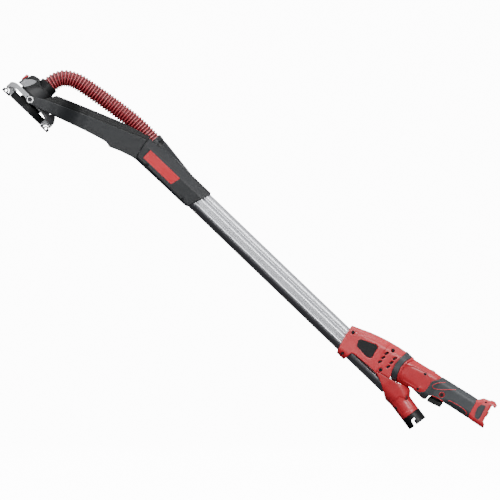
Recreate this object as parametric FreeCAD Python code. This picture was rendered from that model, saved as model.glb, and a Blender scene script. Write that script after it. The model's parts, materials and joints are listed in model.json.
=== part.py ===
import FreeCAD, Part

import math
import os

# Pole drywall sander, shown without its sanding head and its battery.
# Millimetres. The object's middle plane is y = 0, +Z is up, and the head is at -X.
# The origin is the centre of the hand grip.

# ---- driving dimensions -------------------------------------------------
POLE_SLOPE = 43.8        # the pole falls this many degrees towards the handle
ARM_SLOPE = 25.0         # the front arm's fall
GRIP_SLOPE = 32.0        # the hand grip's fall
LEG_SLOPE = 52.5         # the hose outlet's fall
POLE_X, POLE_Z = -519.6, 378.3      # a point on the pole's middle line
PIVOT_X, PIVOT_Z = -1039.5, 727.4   # the head's tilt axis
LEG_X, LEG_Z = -145.1, 5.0          # a point on the outlet's axis

FIT = 0.05               # radial clearance of a running fit
WALL = 2.8               # moulded shell walls

TUBE_FRONT, TUBE_CUT, TUBE_REAR = -228.0, 378.0, 500.0
TUBE_TOP, TUBE_BOTTOM = 29.8, -28.6
SHAFT_Z = 17.4           # the drive shaft's height above the pole's middle line
SHAFT_R = 4.0
CHAMBER_R = 9.2          # the extrusion's shaft chamber

KNEE_FRONT, KNEE_REAR = -341.0, -150.0
KNEE_HALF = 29.0
PORT_X, PORT_Z, PORT_R = -329.5, 27.0, 23.6
HOSE_R = 21.0

FORK_OUT, FORK_IN = 68.5, 61.5      # the fork's ears, outside and inside
FORK_ROOT = 98.0                    # how far back the fork's gap reaches
ARM_HALF = 27.0
EAR_R = 10.5
PIN_R = 4.0

HEAD_X = 7.5             # the head's own axis, measured along the ring from the tilt axis
RING_HALF_X, RING_HALF_Y = 73.7, 61.0
RING_THICK = 6.0
ROLL_Z = -13.0           # the roll axis, below the tilt axis
DRUM_R, DRUM_LOW, DRUM_HIGH = 51.6, -28.0, -10.0
JAW_Z = -24.6
JAW_REACH = 67.5         # each jaw's hole from the head's axis
JAW_BORE_R = 3.0
SOCKET_R, SOCKET_LOW, SOCKET_HIGH = 23.8, 40.0, 60.0

MOTOR_Z = SHAFT_Z + 22.5
MODULE = 1.25
PINION_TEETH, GEAR_TEETH = 12, 24

LEG_R, LEG_END = 24.5, 59.0
CONNECTOR_R, CONNECTOR_END, OUTLET_R = 24.9, 88.0, 17.5


def vec(x, y, z):
    return FreeCAD.Vector(x, y, z)


X, Y, Z = vec(1, 0, 0), vec(0, 1, 0), vec(0, 0, 1)
OUT = {}


# ---- helpers --------------------------------------------------------------
class Frame:
    """A local frame in the middle plane: x falls along the slope, y is the object's own
    and z stands square to both, upwards."""

    def __init__(self, x, z, slope):
        turn = FreeCAD.Rotation(Y, slope)
        self.placement = FreeCAD.Placement(vec(x, 0, z), turn)

    def place(self, shape):
        moved = shape.copy()
        moved.transformShape(self.placement.toMatrix(), True)
        return moved

    def point(self, x, z, y=0.0):
        return self.placement.multVec(vec(x, y, z))

    def inverse(self, point):
        return self.placement.inverse().multVec(point)


POLE = Frame(POLE_X, POLE_Z, POLE_SLOPE)
ARM = Frame(PIVOT_X, PIVOT_Z, ARM_SLOPE)
HEAD = Frame(PIVOT_X, PIVOT_Z, POLE_SLOPE)
GRIP = Frame(0.0, 0.0, GRIP_SLOPE)
LEG = Frame(LEG_X, LEG_Z, LEG_SLOPE)


def keep(name, frame, shape):
    """Puts a finished sub-part in its place and remembers it under its node's name."""
    solids = frame.place(shape).Solids
    if not solids:
        raise ValueError(name + " has no solid")
    done = solids[0] if len(solids) == 1 else Part.makeCompound(solids)
    if not done.isValid():
        raise ValueError(name + " is not valid")
    OUT[name] = done


def polygon(points, axis, at):
    """A closed wire from (a, b) points on the plane square to an axis, at a height along it."""
    if axis == "x":
        corners = [vec(at, a, b) for a, b in points]
    elif axis == "y":
        corners = [vec(a, at, b) for a, b in points]
    else:
        corners = [vec(a, b, at) for a, b in points]
    return Part.makePolygon(corners + corners[:1])


def prism(points, low, high, axis="y"):
    """A polygon pushed along an axis from low to high."""
    along = {"x": X, "y": Y, "z": Z}[axis]
    return Part.Face(polygon(points, axis, low)).extrude(along * (high - low))


def inset(points, by):
    """Moves every side of a convex-enough outline inwards by the same distance."""
    area = sum(a[0] * b[1] - b[0] * a[1] for a, b in zip(points, points[1:] + points[:1]))
    sign = 1.0 if area > 0 else -1.0
    moved = []
    for i, here in enumerate(points):
        back, ahead = points[i - 1], points[(i + 1) % len(points)]
        normals = []
        for start, end in ((back, here), (here, ahead)):
            length = math.hypot(end[0] - start[0], end[1] - start[1])
            normals.append((-sign * (end[1] - start[1]) / length, sign * (end[0] - start[0]) / length))
        (ax, az), (bx, bz) = normals
        share = by / (1 + ax * bx + az * bz)
        moved.append((here[0] + share * (ax + bx), here[1] + share * (az + bz)))
    return moved


def slab(outline, half, edge, middle=0.0):
    """A side outline given thickness, with its two rims rounded off in three steps."""
    steps = [(0.0, 1.0), (0.12, 0.55), (0.42, 0.18), (1.0, 0.0)]
    wires = []
    for deep, narrow in steps:
        wires.append(polygon(inset(outline, edge * narrow), "y", middle - half + edge * deep))
    for deep, narrow in reversed(steps):
        wires.append(polygon(inset(outline, edge * narrow), "y", middle + half - edge * deep))
    return Part.makeLoft(wires, True, True)


def box(x0, x1, y0, y1, z0, z1):
    return Part.makeBox(x1 - x0, y1 - y0, z1 - z0, vec(x0, y0, z0))


def rod(radius, x0, x1, y=0.0, z=0.0):
    """A cylinder along the local x axis."""
    return Part.makeCylinder(radius, x1 - x0, vec(x0, y, z), X)


def cross_rod(radius, y0, y1, x=0.0, z=0.0):
    """A cylinder along the local y axis."""
    return Part.makeCylinder(radius, y1 - y0, vec(x, y0, z), Y)


def post(radius, z0, z1, x=0.0, y=0.0):
    """A cylinder along the local z axis."""
    return Part.makeCylinder(radius, z1 - z0, vec(x, y, z0), Z)


def rounded_section(x, low, high, half, corner):
    """A rounded rectangle square to the local x axis."""
    c = min(corner, 0.49 * (high - low), 0.98 * half)
    k = c * (1 - math.sqrt(0.5))
    edges = []
    for sy, sz in ((1, 1), (-1, 1), (-1, -1), (1, -1)):
        top = high if sz > 0 else low
        side, upright = vec(x, sy * half, top - sz * c), vec(x, sy * (half - c), top)
        bulge = vec(x, sy * (half - k), top - sz * k)
        first, last = (side, upright) if sy * sz > 0 else (upright, side)
        edges.append((first, bulge, last))
    wire = []
    for i, (first, bulge, last) in enumerate(edges):
        wire.append(Part.Arc(first, bulge, last).toShape())
        wire.append(Part.makeLine(last, edges[(i + 1) % 4][0]))
    return Part.Wire(wire)


def lofted(stations, wall=0.0):
    """A body through rounded sections (x, low, high, half width, corner), thinned by wall."""
    wires = []
    for x, low, high, half, corner in stations:
        corner = max(corner - wall, 1.0)
        wires.append(rounded_section(x, low + wall, high - wall, half - wall, corner))
    return Part.makeLoft(wires, True, True)


def halves(shape, name, frame, reach=400.0):
    """Splits a moulded shell on the middle plane into its left and right halves.
    The left half is the one on the -Y side."""
    bounds = shape.BoundBox
    size = bounds.DiagonalLength + reach
    left = Part.makeBox(size * 2, size, size * 2, vec(bounds.XMin - size, -size, bounds.ZMin - size))
    right = Part.makeBox(size * 2, size, size * 2, vec(bounds.XMin - size, 0, bounds.ZMin - size))
    keep(name + "_left", frame, shape.common(left))
    keep(name + "_right", frame, shape.common(right))


def ring_wall(outer, inner, x0, x1, z=0.0):
    return rod(outer, x0, x1, 0, z).cut(rod(inner, x0 - 1, x1 + 1, 0, z))


def fuse(first, *others):
    whole = first
    for other in others:
        whole = whole.fuse(other)
    return whole.removeSplitter()


def ball_bearing(outer, inner, x0, x1, z):
    """One shielded ball bearing on an axis along x, as a single closed ring with grooved faces."""
    whole = ring_wall(outer, inner, x0, x1, z)
    middle = (outer + inner) / 2
    groove = 0.18 * (outer - inner)
    for at in (x0 - 1, x1 - 0.4):
        whole = whole.cut(ring_wall(middle + groove, middle - groove, at, at + 1.4, z))
    return whole


def cap_screw(radius, x, z, y_head, inward, length, frame_sign=1.0):
    """A countersunk-look housing screw along y: its domed head has a hexagon socket."""
    head = cross_rod(radius, min(y_head, y_head + inward * 1.6), max(y_head, y_head + inward * 1.6), x, z)
    ends = (y_head + inward * 1.6, y_head + inward * length)
    shank = cross_rod(radius * 0.5, min(ends), max(ends), x, z)
    across = radius * 0.5
    hexagon = [(x + across * math.cos(math.radians(60 * i)), z + across * math.sin(math.radians(60 * i)))
               for i in range(6)]
    depth = (y_head - inward * 1.0, y_head + inward * 1.1)
    return fuse(head, shank).cut(prism(hexagon, min(depth), max(depth)))


def gear(teeth, x0, x1, z, bore, phase):
    """A spur gear on an axis along x. Its flanks are straight, with backlash for a free run."""
    pitch = MODULE * teeth / 2
    root, tip = pitch - 1.2 * MODULE, pitch + 0.9 * MODULE
    points = []
    for i in range(teeth):
        middle = phase + 2 * math.pi * i / teeth
        half_pitch = math.pi / (2 * teeth) * 0.86
        lean = math.tan(math.radians(20))
        for radius, side in ((root, -1), (tip, -1), (tip, 1), (root, 1)):
            turn = half_pitch - (radius - pitch) * lean / pitch
            angle = middle + side * turn
            points.append((radius * math.cos(angle), z + radius * math.sin(angle)))
    return prism(points, x0, x1, "x").cut(rod(bore, x0 - 1, x1 + 1, 0, z))


def coil_spring(radius, wire, pitch, turns, start, along):
    """A round-wire compression spring with its axis from start along a direction."""
    helix = Part.makeHelix(pitch, pitch * turns, radius)
    circle = Part.makeCircle(wire, vec(radius, 0, 0), Y)
    body = Part.Wire(helix.Edges).makePipeShell([Part.Wire([circle])], True, True)
    turn = FreeCAD.Rotation(Z, along)
    body.transformShape(FreeCAD.Placement(start, turn).toMatrix(), True)
    return body


# ---- pole ------------------------------------------------------------------
def tube_outline():
    """The extrusion: a shaft lobe on top, a shoulder, and the wide suction lobe below."""
    lobe_z = TUBE_TOP - 12.0
    points = [(0, TUBE_TOP), (8.5, lobe_z + 8.5), (12.0, lobe_z)]
    edges = [Part.Arc(*[vec(0, y, z) for y, z in points]).toShape()]

    def arc(a, b, c):
        edges.append(Part.Arc(vec(0, *a), vec(0, *b), vec(0, *c)).toShape())

    def line(a, b):
        edges.append(Part.makeLine(vec(0, *a), vec(0, *b)))

    line((12.0, lobe_z), (12.0, 14.0))
    arc((12.0, 14.0), (13.0, 12.2), (15.0, 11.6))
    arc((15.0, 11.6), (19.0, 8.6), (20.5, 3.0))
    line((20.5, 3.0), (20.5, -5.5))
    arc((20.5, -5.5), (22.6, -7.6), (24.0, -10.8))
    arc((24.0, -10.8), (17.5, -23.6), (0, TUBE_BOTTOM))
    mirrored = [e.mirror(vec(0, 0, 0), Y) for e in edges]
    return Part.Wire(Part.__sortEdges__(edges + mirrored))


def tube_solid(x0, x1):
    solid = Part.Face(tube_outline()).extrude(X * (x1 - x0))
    solid.translate(X * x0)
    return solid


def suction_chamber(x0, x1):
    """The wide lobe's hollow, under the web that carries the shaft chamber."""
    side = [(0, 5.0), (17.0, 5.0), (18.3, -6.2), (21.4, -11.0)]
    points = side + [(15.5, -21.8), (0, -26.2)]
    points += [(-y, z) for y, z in reversed(points[1:-1])]
    return prism(points, x0, x1, "x")


def make_pole():
    tube = tube_solid(TUBE_FRONT, TUBE_REAR)
    tube = tube.cut(suction_chamber(TUBE_FRONT - 1, TUBE_REAR - 14))
    tube = tube.cut(rod(CHAMBER_R, TUBE_FRONT - 1, TUBE_CUT + 1, 0, SHAFT_Z))
    # Behind the cut only the suction lobe goes on, under the motor.
    tube = tube.cut(box(TUBE_CUT, TUBE_REAR + 1, -40, 40, -7.0, 60))
    lid = prism([(-19.0, -7.0), (19.0, -7.0), (19.0, -4.8), (-19.0, -4.8)], TUBE_CUT, TUBE_REAR - 8, "x")
    keep("tube", POLE, fuse(tube, lid))
    sleeves = []
    for at in (TUBE_FRONT + 12, 60.0, TUBE_CUT - 24):
        sleeves.append(ring_wall(CHAMBER_R, SHAFT_R + FIT, at, at + 12, SHAFT_Z))
    keep("shaft_sleeves", POLE, Part.makeCompound(sleeves))


# ---- knee ------------------------------------------------------------------
KNEE_SCREWS = [(-300.0, -26.0), (-180.0, -26.0)]
KNEE_SIDE = [(KNEE_FRONT + 6.0, -21.0), (-329.0, -35.0), (-170.0, -33.0), (-159.5, -31.5),
             (-148.0, 2.6), (-139.0, 29.0), (-141.0, 33.5), (KNEE_FRONT - 3.0, 33.5), (KNEE_FRONT, 8.0)]


def knee_profile(by):
    """The knee's section: upright sides, a wide bevel above them, and a flat top."""
    half = [(24.0, -35.0), (KNEE_HALF, -28.0), (KNEE_HALF, 7.6), (20.5, 31.0), (17.0, 33.5)]
    points = half + [(-y, z) for y, z in reversed(half)]
    return inset(points, by) if by else points


def fairing(grow):
    """The hose port's hood, which melts back into the knee's top."""
    front = Part.Wire([Part.makeCircle(PORT_R + grow, vec(PORT_X, 0, PORT_Z), X)])
    back = Part.Wire([Part.makeCircle(8.0 + grow, vec(-196.0, 0, 24.5), X)])
    return Part.makeLoft([front, back], True, True)


def make_knee():
    outer = prism(knee_profile(0), KNEE_FRONT - 5, -138, "x").common(prism(KNEE_SIDE, -40, 40))
    outer = fuse(outer, fairing(0))
    inner = prism(knee_profile(WALL), KNEE_FRONT - 5, KNEE_REAR - 16, "x")
    inner = fuse(inner, fairing(-2.4).common(box(-329.6, -215, -40, 40, 0, 60)))
    hollow = outer.cut(inner).cut(box(KNEE_FRONT - 9, PORT_X, -40, 40, 33.0, 60))
    clamp = box(-226.0, -218.0, -27, 27, -33, 32).common(prism(knee_profile(WALL), -230, -200, "x"))
    shell = fuse(hollow, clamp).cut(tube_solid(TUBE_FRONT, 0))
    mouth = rod(HOSE_R + 0.4, KNEE_FRONT - 20, PORT_X + 22, 0, PORT_Z)
    shell = shell.cut(mouth)
    for side in (-1, 1):
        face = side * KNEE_HALF
        recess = [(-320.0, 7.0), (-219.0, 7.0), (-225.5, -19.0), (-320.0, -19.0)]
        shell = shell.cut(prism(recess, min(face, face - side * 0.8), max(face, face - side * 0.8) + 0.0))
    for x, z in KNEE_SCREWS:
        shell = shell.cut(cross_rod(3.25, -60, -(KNEE_HALF - 1.9), x, z))
        shell = shell.cut(cross_rod(1.55, -60, -(KNEE_HALF - 9), x, z))
    halves(shell, "knee_housing", POLE)
    plates = []
    for side in (-1, 1):
        plate = [(-319.7, 6.7), (-219.5, 6.7), (-225.9, -18.7), (-319.7, -18.7)]
        low, high = sorted((side * (KNEE_HALF - 0.8), side * KNEE_HALF))
        plates.append(prism(plate, low, high))
    keep("label_plates", POLE, Part.makeCompound(plates))





# ---- front arm ---------------------------------------------------------------
ARM_SIDE = [(0.0, -EAR_R), (150.0, -11.3), (193.0, -13.3), (211.0, -15.2), (217.0, -18.4), (222.0, -22.7),
            (252.0, -20.8), (284.0, -21.6), (296.0, -24.0), (302.5, 43.0), (275.0, 43.8), (215.0, 45.0),
            (141.0, 41.8), (88.0, 38.8), (54.0, 36.3), (41.0, 24.0), (31.0, 15.6), (6.0, 9.3)]
CREASE = [(-12.0, 13.5), (31.0, 15.8), (97.0, 21.0), (149.0, 25.0), (215.0, 28.0), (310.0, 33.5)]


def arm_plan(by, z, inner):
    """The wishbone seen from above: a straight stem that flares into two ears.
    by thins it from outside, inner from inside the fork."""
    out, stem, inside = FORK_OUT - by, ARM_HALF - by, FORK_IN + inner
    root = FORK_ROOT + inner
    edges = []
    for side in (1, -1):
        def at(x, y):
            return vec(x, side * y, z)
        path = [at(-EAR_R - 2, inside), at(-EAR_R - 2, out), at(44, out)]
        edges.append(Part.makeLine(path[0], path[1]))
        edges.append(Part.makeLine(path[1], path[2]))
        flare = Part.BSplineCurve()
        flare.interpolate([at(44, out), at(96, 49.5 - by), at(150, stem)],
                          InitialTangent=vec(60, 0, 0), FinalTangent=vec(60, 0, 0))
        edges.append(flare.toShape())
        edges.append(Part.makeLine(at(150, stem), at(330, stem)))
        edges.append(Part.makeLine(at(-EAR_R - 2, inside), at(40, inside)))
        hollow = Part.BSplineCurve()
        hollow.interpolate([at(40, inside), at(root - 20, 0.55 * inside), at(root, 0)],
                           InitialTangent=vec(50, 0, 0), FinalTangent=vec(0, -side * 50, 0))
        edges.append(hollow.toShape())
    edges.append(Part.makeLine(vec(330, stem, z), vec(330, -stem, z)))
    return Part.Wire(Part.__sortEdges__(edges))


def arm_block(by, low, high, inner=None):
    """The arm's plan, thinned by a width, pushed up from low to high."""
    return Part.Face(arm_plan(by, low, by if inner is None else inner)).extrude(Z * (high - low))


def arm_cap(side):
    """What stands above the crease, in bands that lean in towards the top."""
    bands = []
    for low, high, by in ((0.0, 5.0, 0.8), (5.0, 10.0, 2.4), (10.0, 15.0, 4.0), (15.0, 60.0, 5.2)):
        line = [(x, z + low) for x, z in CREASE] + [(x, z + high) for x, z in reversed(CREASE)]
        bands.append(arm_block(by, 0, 70, 0.0).common(side).common(prism(line, -90, 90)))
    return bands[0].fuse(bands[1:])


def shaft_crossing():
    """The point, in the pole's frame, where the arm's shaft line meets the pole's shaft line."""
    start = POLE.inverse(ARM.point(0, 0))
    fall = math.tan(math.radians(POLE_SLOPE - ARM_SLOPE))
    return start.x + (SHAFT_Z - start.z) / fall


def make_arm():
    below = prism(CREASE + [(310.0, -60.0), (-12.0, -60.0)], -90, 90)
    side = prism(ARM_SIDE, -90, 90)
    frame = arm_block(0, -40, 60).common(side).common(below)
    room = arm_block(3.0, -40, 60).common(prism(inset(ARM_SIDE, 3.0), -90, 90))
    room = room.common(box(FORK_ROOT, 330, -60, 60, -60, 60))
    cap = arm_cap(side)
    open_end = box(288, 330, -ARM_HALF + 3, ARM_HALF - 3, -17, 36)
    ears = []
    for ear in (-1, 1):
        low, high = sorted((ear * FORK_IN, ear * FORK_OUT))
        ears.append(cross_rod(EAR_R, low, high))
    bearing_boss = fuse(rod(10.5, FORK_ROOT + 1.5, FORK_ROOT + 16), rod(10.5, 262, 272))
    webs = fuse(box(FORK_ROOT + 6, FORK_ROOT + 10, -45, 45, -20, 45).common(room),
                box(265, 269, -40, 40, -30, 45).common(room))
    frame = fuse(frame, *ears)
    frame = fuse(frame.cut(room).cut(open_end), webs.common(below), bearing_boss)
    frame = frame.cut(rod(8.0, FORK_ROOT - 10, FORK_ROOT + 17)).cut(rod(8.0, 255, 275))
    hose = Part.makeCylinder(HOSE_R + 2.2, 150, ARM.inverse(POLE.point(PORT_X + 3, PORT_Z)),
                             ARM.placement.inverse().Rotation.multVec(POLE.placement.Rotation.multVec(-X)))
    knee = prism(KNEE_SIDE, -40, 40)
    knee.transformShape(ARM.placement.inverse().multiply(POLE.placement).toMatrix(), True)
    frame = frame.cut(hose).cut(knee)
    for ear in (-1, 1):
        frame = frame.cut(cross_rod(PIN_R + 0.0, min(ear * 55, ear * 75), max(ear * 55, ear * 75)))
        low, high = sorted((ear * (FORK_OUT - 1.5), ear * (FORK_OUT + 1)))
        frame = frame.cut(cross_rod(8.2, low, high))
    halves(frame, "arm", ARM)
    cover_room = arm_block(8.0, 0, 70, 3.0).common(prism(inset(ARM_SIDE, 3.0), -90, 90))
    cover_room = cover_room.common(box(FORK_ROOT + 4, 330, -60, 60, 0, 60))
    cover = cap.cut(cover_room).cut(open_end).cut(hose).cut(bearing_boss).cut(knee)
    keep("arm_cover", ARM, cover)


def make_pivots():
    """The two shoulder screws that the ring turns on, and the bright rings under their heads."""
    screws, collars = [], []
    for side in (-1, 1):
        head_out, head_in = side * (FORK_OUT + 0.6), side * (FORK_OUT - 1.5)
        body = cross_rod(PIN_R, *sorted((side * (RING_HALF_Y - RING_THICK - 2.0), head_in)))
        head = cross_rod(5.4, *sorted((head_in, head_out)))
        socket = [(2.6 * math.cos(math.radians(60 * i)), 2.6 * math.sin(math.radians(60 * i))) for i in range(6)]
        screw = fuse(body, head).cut(prism(socket, *sorted((head_out - side * 1.8, head_out + side))))
        screws.append(screw)
        band = cross_rod(8.1, *sorted((head_in, side * (FORK_OUT + 0.3))))
        collars.append(band.cut(cross_rod(5.5, *sorted((head_in - side, head_out + side)))))
    keep("pivot_screws", ARM, Part.makeCompound(screws))
    keep("pivot_collars", ARM, Part.makeCompound(collars))


# ---- suction hose ---------------------------------------------------------------
# The hose's route in the object's own frame, (x, z), from the head's socket to the knee's port.
HOSE_ROUTE = [(-1000.9, 756.8), (-977.0, 781.0), (-935.0, 783.0), (-884.0, 751.0), (-829.0, 712.5),
              (-772.0, 663.0), (-723.9, 611.7)]


def hose_path():
    """Straight runs joined by tangent arcs, each as large as its runs allow."""
    points = [vec(x, 0, z) for x, z in HOSE_ROUTE]
    edges, here = [], points[0]
    for i in range(1, len(points) - 1):
        back, ahead = points[i - 1] - points[i], points[i + 1] - points[i]
        shorter = min(back.Length, ahead.Length)
        reach = 0.45 * shorter
        turn = math.pi - back.getAngle(ahead)
        radius = reach / math.tan(turn / 2)
        print("hose bend %d: radius %.0f mm" % (i, radius))
        first = points[i] + back.normalize() * reach
        last = points[i] + ahead.normalize() * reach
        inward = (first + last) * 0.5 - points[i]
        centre = points[i] + inward.normalize() * (radius / math.cos(turn / 2))
        bulge = centre + (points[i] - centre).normalize() * radius
        edges.append(Part.makeLine(here, first))
        edges.append(Part.Arc(first, bulge, last).toShape())
        here = last
    edges.append(Part.makeLine(here, points[-1]))
    return Part.Wire(edges)


class Still:
    """The object's own frame."""
    def place(self, shape):
        return shape.copy()


def make_hose():
    path = hose_path()
    start, direction = path.Vertexes[0].Point, path.Edges[0].tangentAt(0)
    ends = []
    for radius in (HOSE_R - 0.5, HOSE_R - 3.4):
        circle = Part.Wire([Part.makeCircle(radius, start, direction)])
        ends.append(path.makePipeShell([circle], True, True))
    hose = ends[0].cut(ends[1])
    section = math.pi * ((HOSE_R - 0.5) ** 2 - (HOSE_R - 3.4) ** 2)
    print("hose length %.0f mm, volume over section %.0f mm" % (path.Length, hose.Volume / section))
    keep("suction_hose", Still(), hose)


# ---- tilting head: ring, hood and drive ----------------------------------------
def oval(grow, low, high):
    """The gimbal ring's plan, grown by a width and pushed up from low to high."""
    curve = Part.Ellipse(vec(HEAD_X, 0, low), RING_HALF_X + grow, RING_HALF_Y + grow)
    return Part.Face(Part.Wire([curve.toShape()])).extrude(Z * (high - low))


RING_SIDE = [(-67.5, -8.0), (-66.0, -2.0), (-62.0, 2.2), (-56.5, 5.3), (-50.0, 7.0), (60.0, 7.0),
             (64.5, 12.6), (69.5, 13.2), (74.0, 8.6), (78.0, 2.2), (81.0, -2.0), (82.5, -8.0), (82.0, -10.5), (62.0, -10.0),
             (50.0, -6.5), (36.0, -4.5), (-21.0, -4.2), (-40.0, -4.2), (-50.0, -6.5), (-58.0, -10.5),
             (-67.0, -10.5)]


def shaft_slot():
    """The room that the arm's shaft sweeps through the gimbal as the head tilts."""
    wedge = [(0, -5.6), (90, -5.6), (90, 82), (0, 7)]
    return prism(wedge, -5.6, 5.6)


def make_ring():
    ring = oval(0, -30, 20).cut(oval(-RING_THICK, -31, 21)).common(prism(RING_SIDE, -70, 70))
    ends = []
    for end in (-1, 1):
        low, high = sorted((HEAD_X + end * (RING_HALF_X - RING_THICK), HEAD_X + end * (RING_HALF_X - 0.4)))
        ends.append(rod(5.6, low, high, 0, ROLL_Z))
        ends.append(box(low, high, -5.6, 5.6, ROLL_Z, -8.0))
    bosses = []
    for side in (-1, 1):
        bosses.append(cross_rod(8.0, *sorted((side * (RING_HALF_Y - RING_THICK - 1.5), side * (RING_HALF_Y + 0.2)))))
    ring = fuse(ring, *ends, *bosses)
    for end in (-1, 1):
        middle = HEAD_X + end * RING_HALF_X
        ring = ring.cut(rod(3.0 + FIT, middle - 9, middle + 9, 0, ROLL_Z))
    ring = ring.cut(cross_rod(PIN_R + FIT, -70, 70)).cut(shaft_slot())
    keep("gimbal_ring", HEAD, ring)


HOOD_SIDE = [(-51.5, 10.6), (-49.5, 21.0), (-46.0, 30.0), (-43.5, 36.0), (-40.5, 45.0), (-33.6, 50.3),
             (-20.0, 53.2), (-14.0, 49.0), (0.0, 41.0), (14.0, 39.0), (18.0, 30.0), (18.0, 10.6)]
SLIDER_SIDE = [(-52.0, 21.2), (-51.0, 39.0), (-44.6, 41.0), (-44.0, 36.0), (-46.6, 29.6), (-49.8, 21.4)]
# the room that the slider sweeps as it is pressed in, with some to spare
SLOT_SIDE = [(-52.0, 21.2), (-51.0, 39.0), (-44.6, 41.0), (-40.0, 41.0), (-39.4, 36.0), (-42.0, 29.6),
             (-45.2, 21.4)]
PANEL_SIDE = [(-47.0, 12.2), (-45.5, 27.0), (-31.2, 39.6), (-20.5, 44.6), (-20.0, 37.0), (-25.1, 23.7),
              (-32.2, 12.2)]


def cone(low_r, high_r, low, high):
    return Part.makeCone(low_r, high_r, high - low, vec(HEAD_X, 0, low), Z)


def head_post(radius, low, high):
    return post(radius, low, high, HEAD_X)


def make_hood():
    base = oval(-1.5, 7.0, 10.6).common(box(-26, 38, -62, 62, 6, 11))
    base = fuse(base, head_post(46, 7.0, 10.6)).cut(head_post(33, 6, 11))
    for x, y in HOOD_BOLTS:
        base = base.cut(post(1.6, 6, 12, x, y))
    base = base.cut(cross_rod(8.3, -70, 70)).cut(rod(12.3, -30, 0)).cut(shaft_slot())
    keep("hood_base", HEAD, base)
    outer = fuse(cone(44.0, 25.5, 10.6, 40.0), slab(HOOD_SIDE, 25.0, 4.0), head_post(26.0, 36.0, 43.0))
    inner = cone(41.4, 23.0, 10.6, 38.0).fuse(slab(inset(HOOD_SIDE, 2.6), 22.4, 3.0))
    inner = inner.fuse(box(-47, 18, -20, 20, 9, 16))
    hood = outer.cut(inner).cut(head_post(SOCKET_R, 37.0, 80.0))
    slot = prism(inset(SLOT_SIDE, -0.4), -13.4, 13.4)
    hood = hood.cut(slot).cut(rod(3.5, -52, -34, 0, 33.0))
    for side in (-1, 1):
        hood = hood.cut(prism(PANEL_SIDE, *sorted((side * 24.2, side * 26))))
    halves(hood.cut(shaft_slot()), "hood", HEAD)
    panels = []
    for side in (-1, 1):
        panels.append(prism(inset(PANEL_SIDE, 0.3), *sorted((side * 24.2, side * 25.6))))
    keep("hood_panels", HEAD, Part.makeCompound(panels))
    socket = head_post(SOCKET_R, 40.0, SOCKET_HIGH).cut(head_post(HOSE_R + 0.2, 39, 61))
    stop = head_post(SOCKET_R, 37.0, 40.0).cut(head_post(18.0, 36, 41))
    keep("hose_socket", HEAD, fuse(socket, stop))
    slider = slab(SLIDER_SIDE, 13.0, 1.0)
    stem = rod(3.0, -47.5, -40.0, 0, 33.0)
    keep("release_slider", HEAD, fuse(slider, stem))


HOOD_BOLTS = [(-18.0, 51.0), (-18.0, -51.0), (32.0, 51.0), (32.0, -51.0)]


POD_R, CROWN_R, SPINDLE_R = 31.0, 25.5, 5.95
JOINT_BALL_R = 6.0


def joint_cup(open_towards):
    """The outer half of a ball joint in a shaft line, centred on the local origin.
    It stays open towards the shaft that leans in it."""
    cup = Part.makeSphere(9.0).cut(Part.makeSphere(JOINT_BALL_R + FIT))
    if open_towards > 0:
        return cup.cut(box(-0.4, 12, -12, 12, -12, 12))
    return cup.cut(box(-12, 0.4, -12, 12, -12, 12))


def make_head_drive():
    low = fuse(head_post(POD_R, -15.5, -3.0), rod(12.0, -24.5, -3.0), head_post(9.0, -19.5, -15.0))
    room = fuse(head_post(POD_R - 2.0, -13.5, -5.0), rod(10.0, -22.5, -2.0))
    pod = low.cut(room).cut(head_post(7.0, -21, -12))
    pod = pod.cut(box(-3.0, 20.0, -13, 13, -3.5, 20)).cut(box(-10.5, 20.0, -10, 10, -4.4, 14))
    pod = pod.cut(Part.makeSphere(JOINT_BALL_R + 3.6)).cut(shaft_slot())
    arms = []
    for side in (-1, 1):
        for lean in (-1, 1):
            x = HEAD_X + lean * 18.0
            arms.append(box(x - 2.5, x + 2.5, *sorted((side * 22.0, side * 36.0)), -3.0, -0.5))
            arms.append(box(x - 2.5, x + 2.5, *sorted((side * 33.5, side * 36.0)), -3.0, 7.0))
    keep("gear_pod", HEAD, fuse(pod, *arms))
    keep("spindle_bearing", HEAD, head_post(7.0, -19.5, -15.5).cut(head_post(5.25, -21, -14)))
    keep("output_spindle", HEAD, fuse(head_post(SPINDLE_R, -27.6, -19.9), head_post(5.2, -20.2, -10.5)))
    crown = head_post(CROWN_R + 2.5, -12.8, -10.0).cut(head_post(5.2, -14, -9))
    teeth = []
    for i in range(34):
        tooth = box(CROWN_R - 3.5, CROWN_R + 2.5, -0.9, 0.9, -10.0, -7.0)
        tooth.rotate(vec(0, 0, 0), Z, 360.0 * i / 34)
        tooth.translate(vec(HEAD_X, 0, 0))
        teeth.append(tooth)
    keep("crown_gear", HEAD, fuse(crown, *teeth))
    points = []
    for i in range(16):
        angle, radius = math.radians(22.5 * i + 11.25), (6.6 if i % 2 else 4.8)
        points.append((radius * math.cos(angle), radius * math.sin(angle)))
    pinion = prism(points, -20.5, -15.0, "x")
    keep("head_pinion", HEAD, fuse(joint_cup(1), rod(4.5, -22.0, -8.0), pinion))


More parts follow.
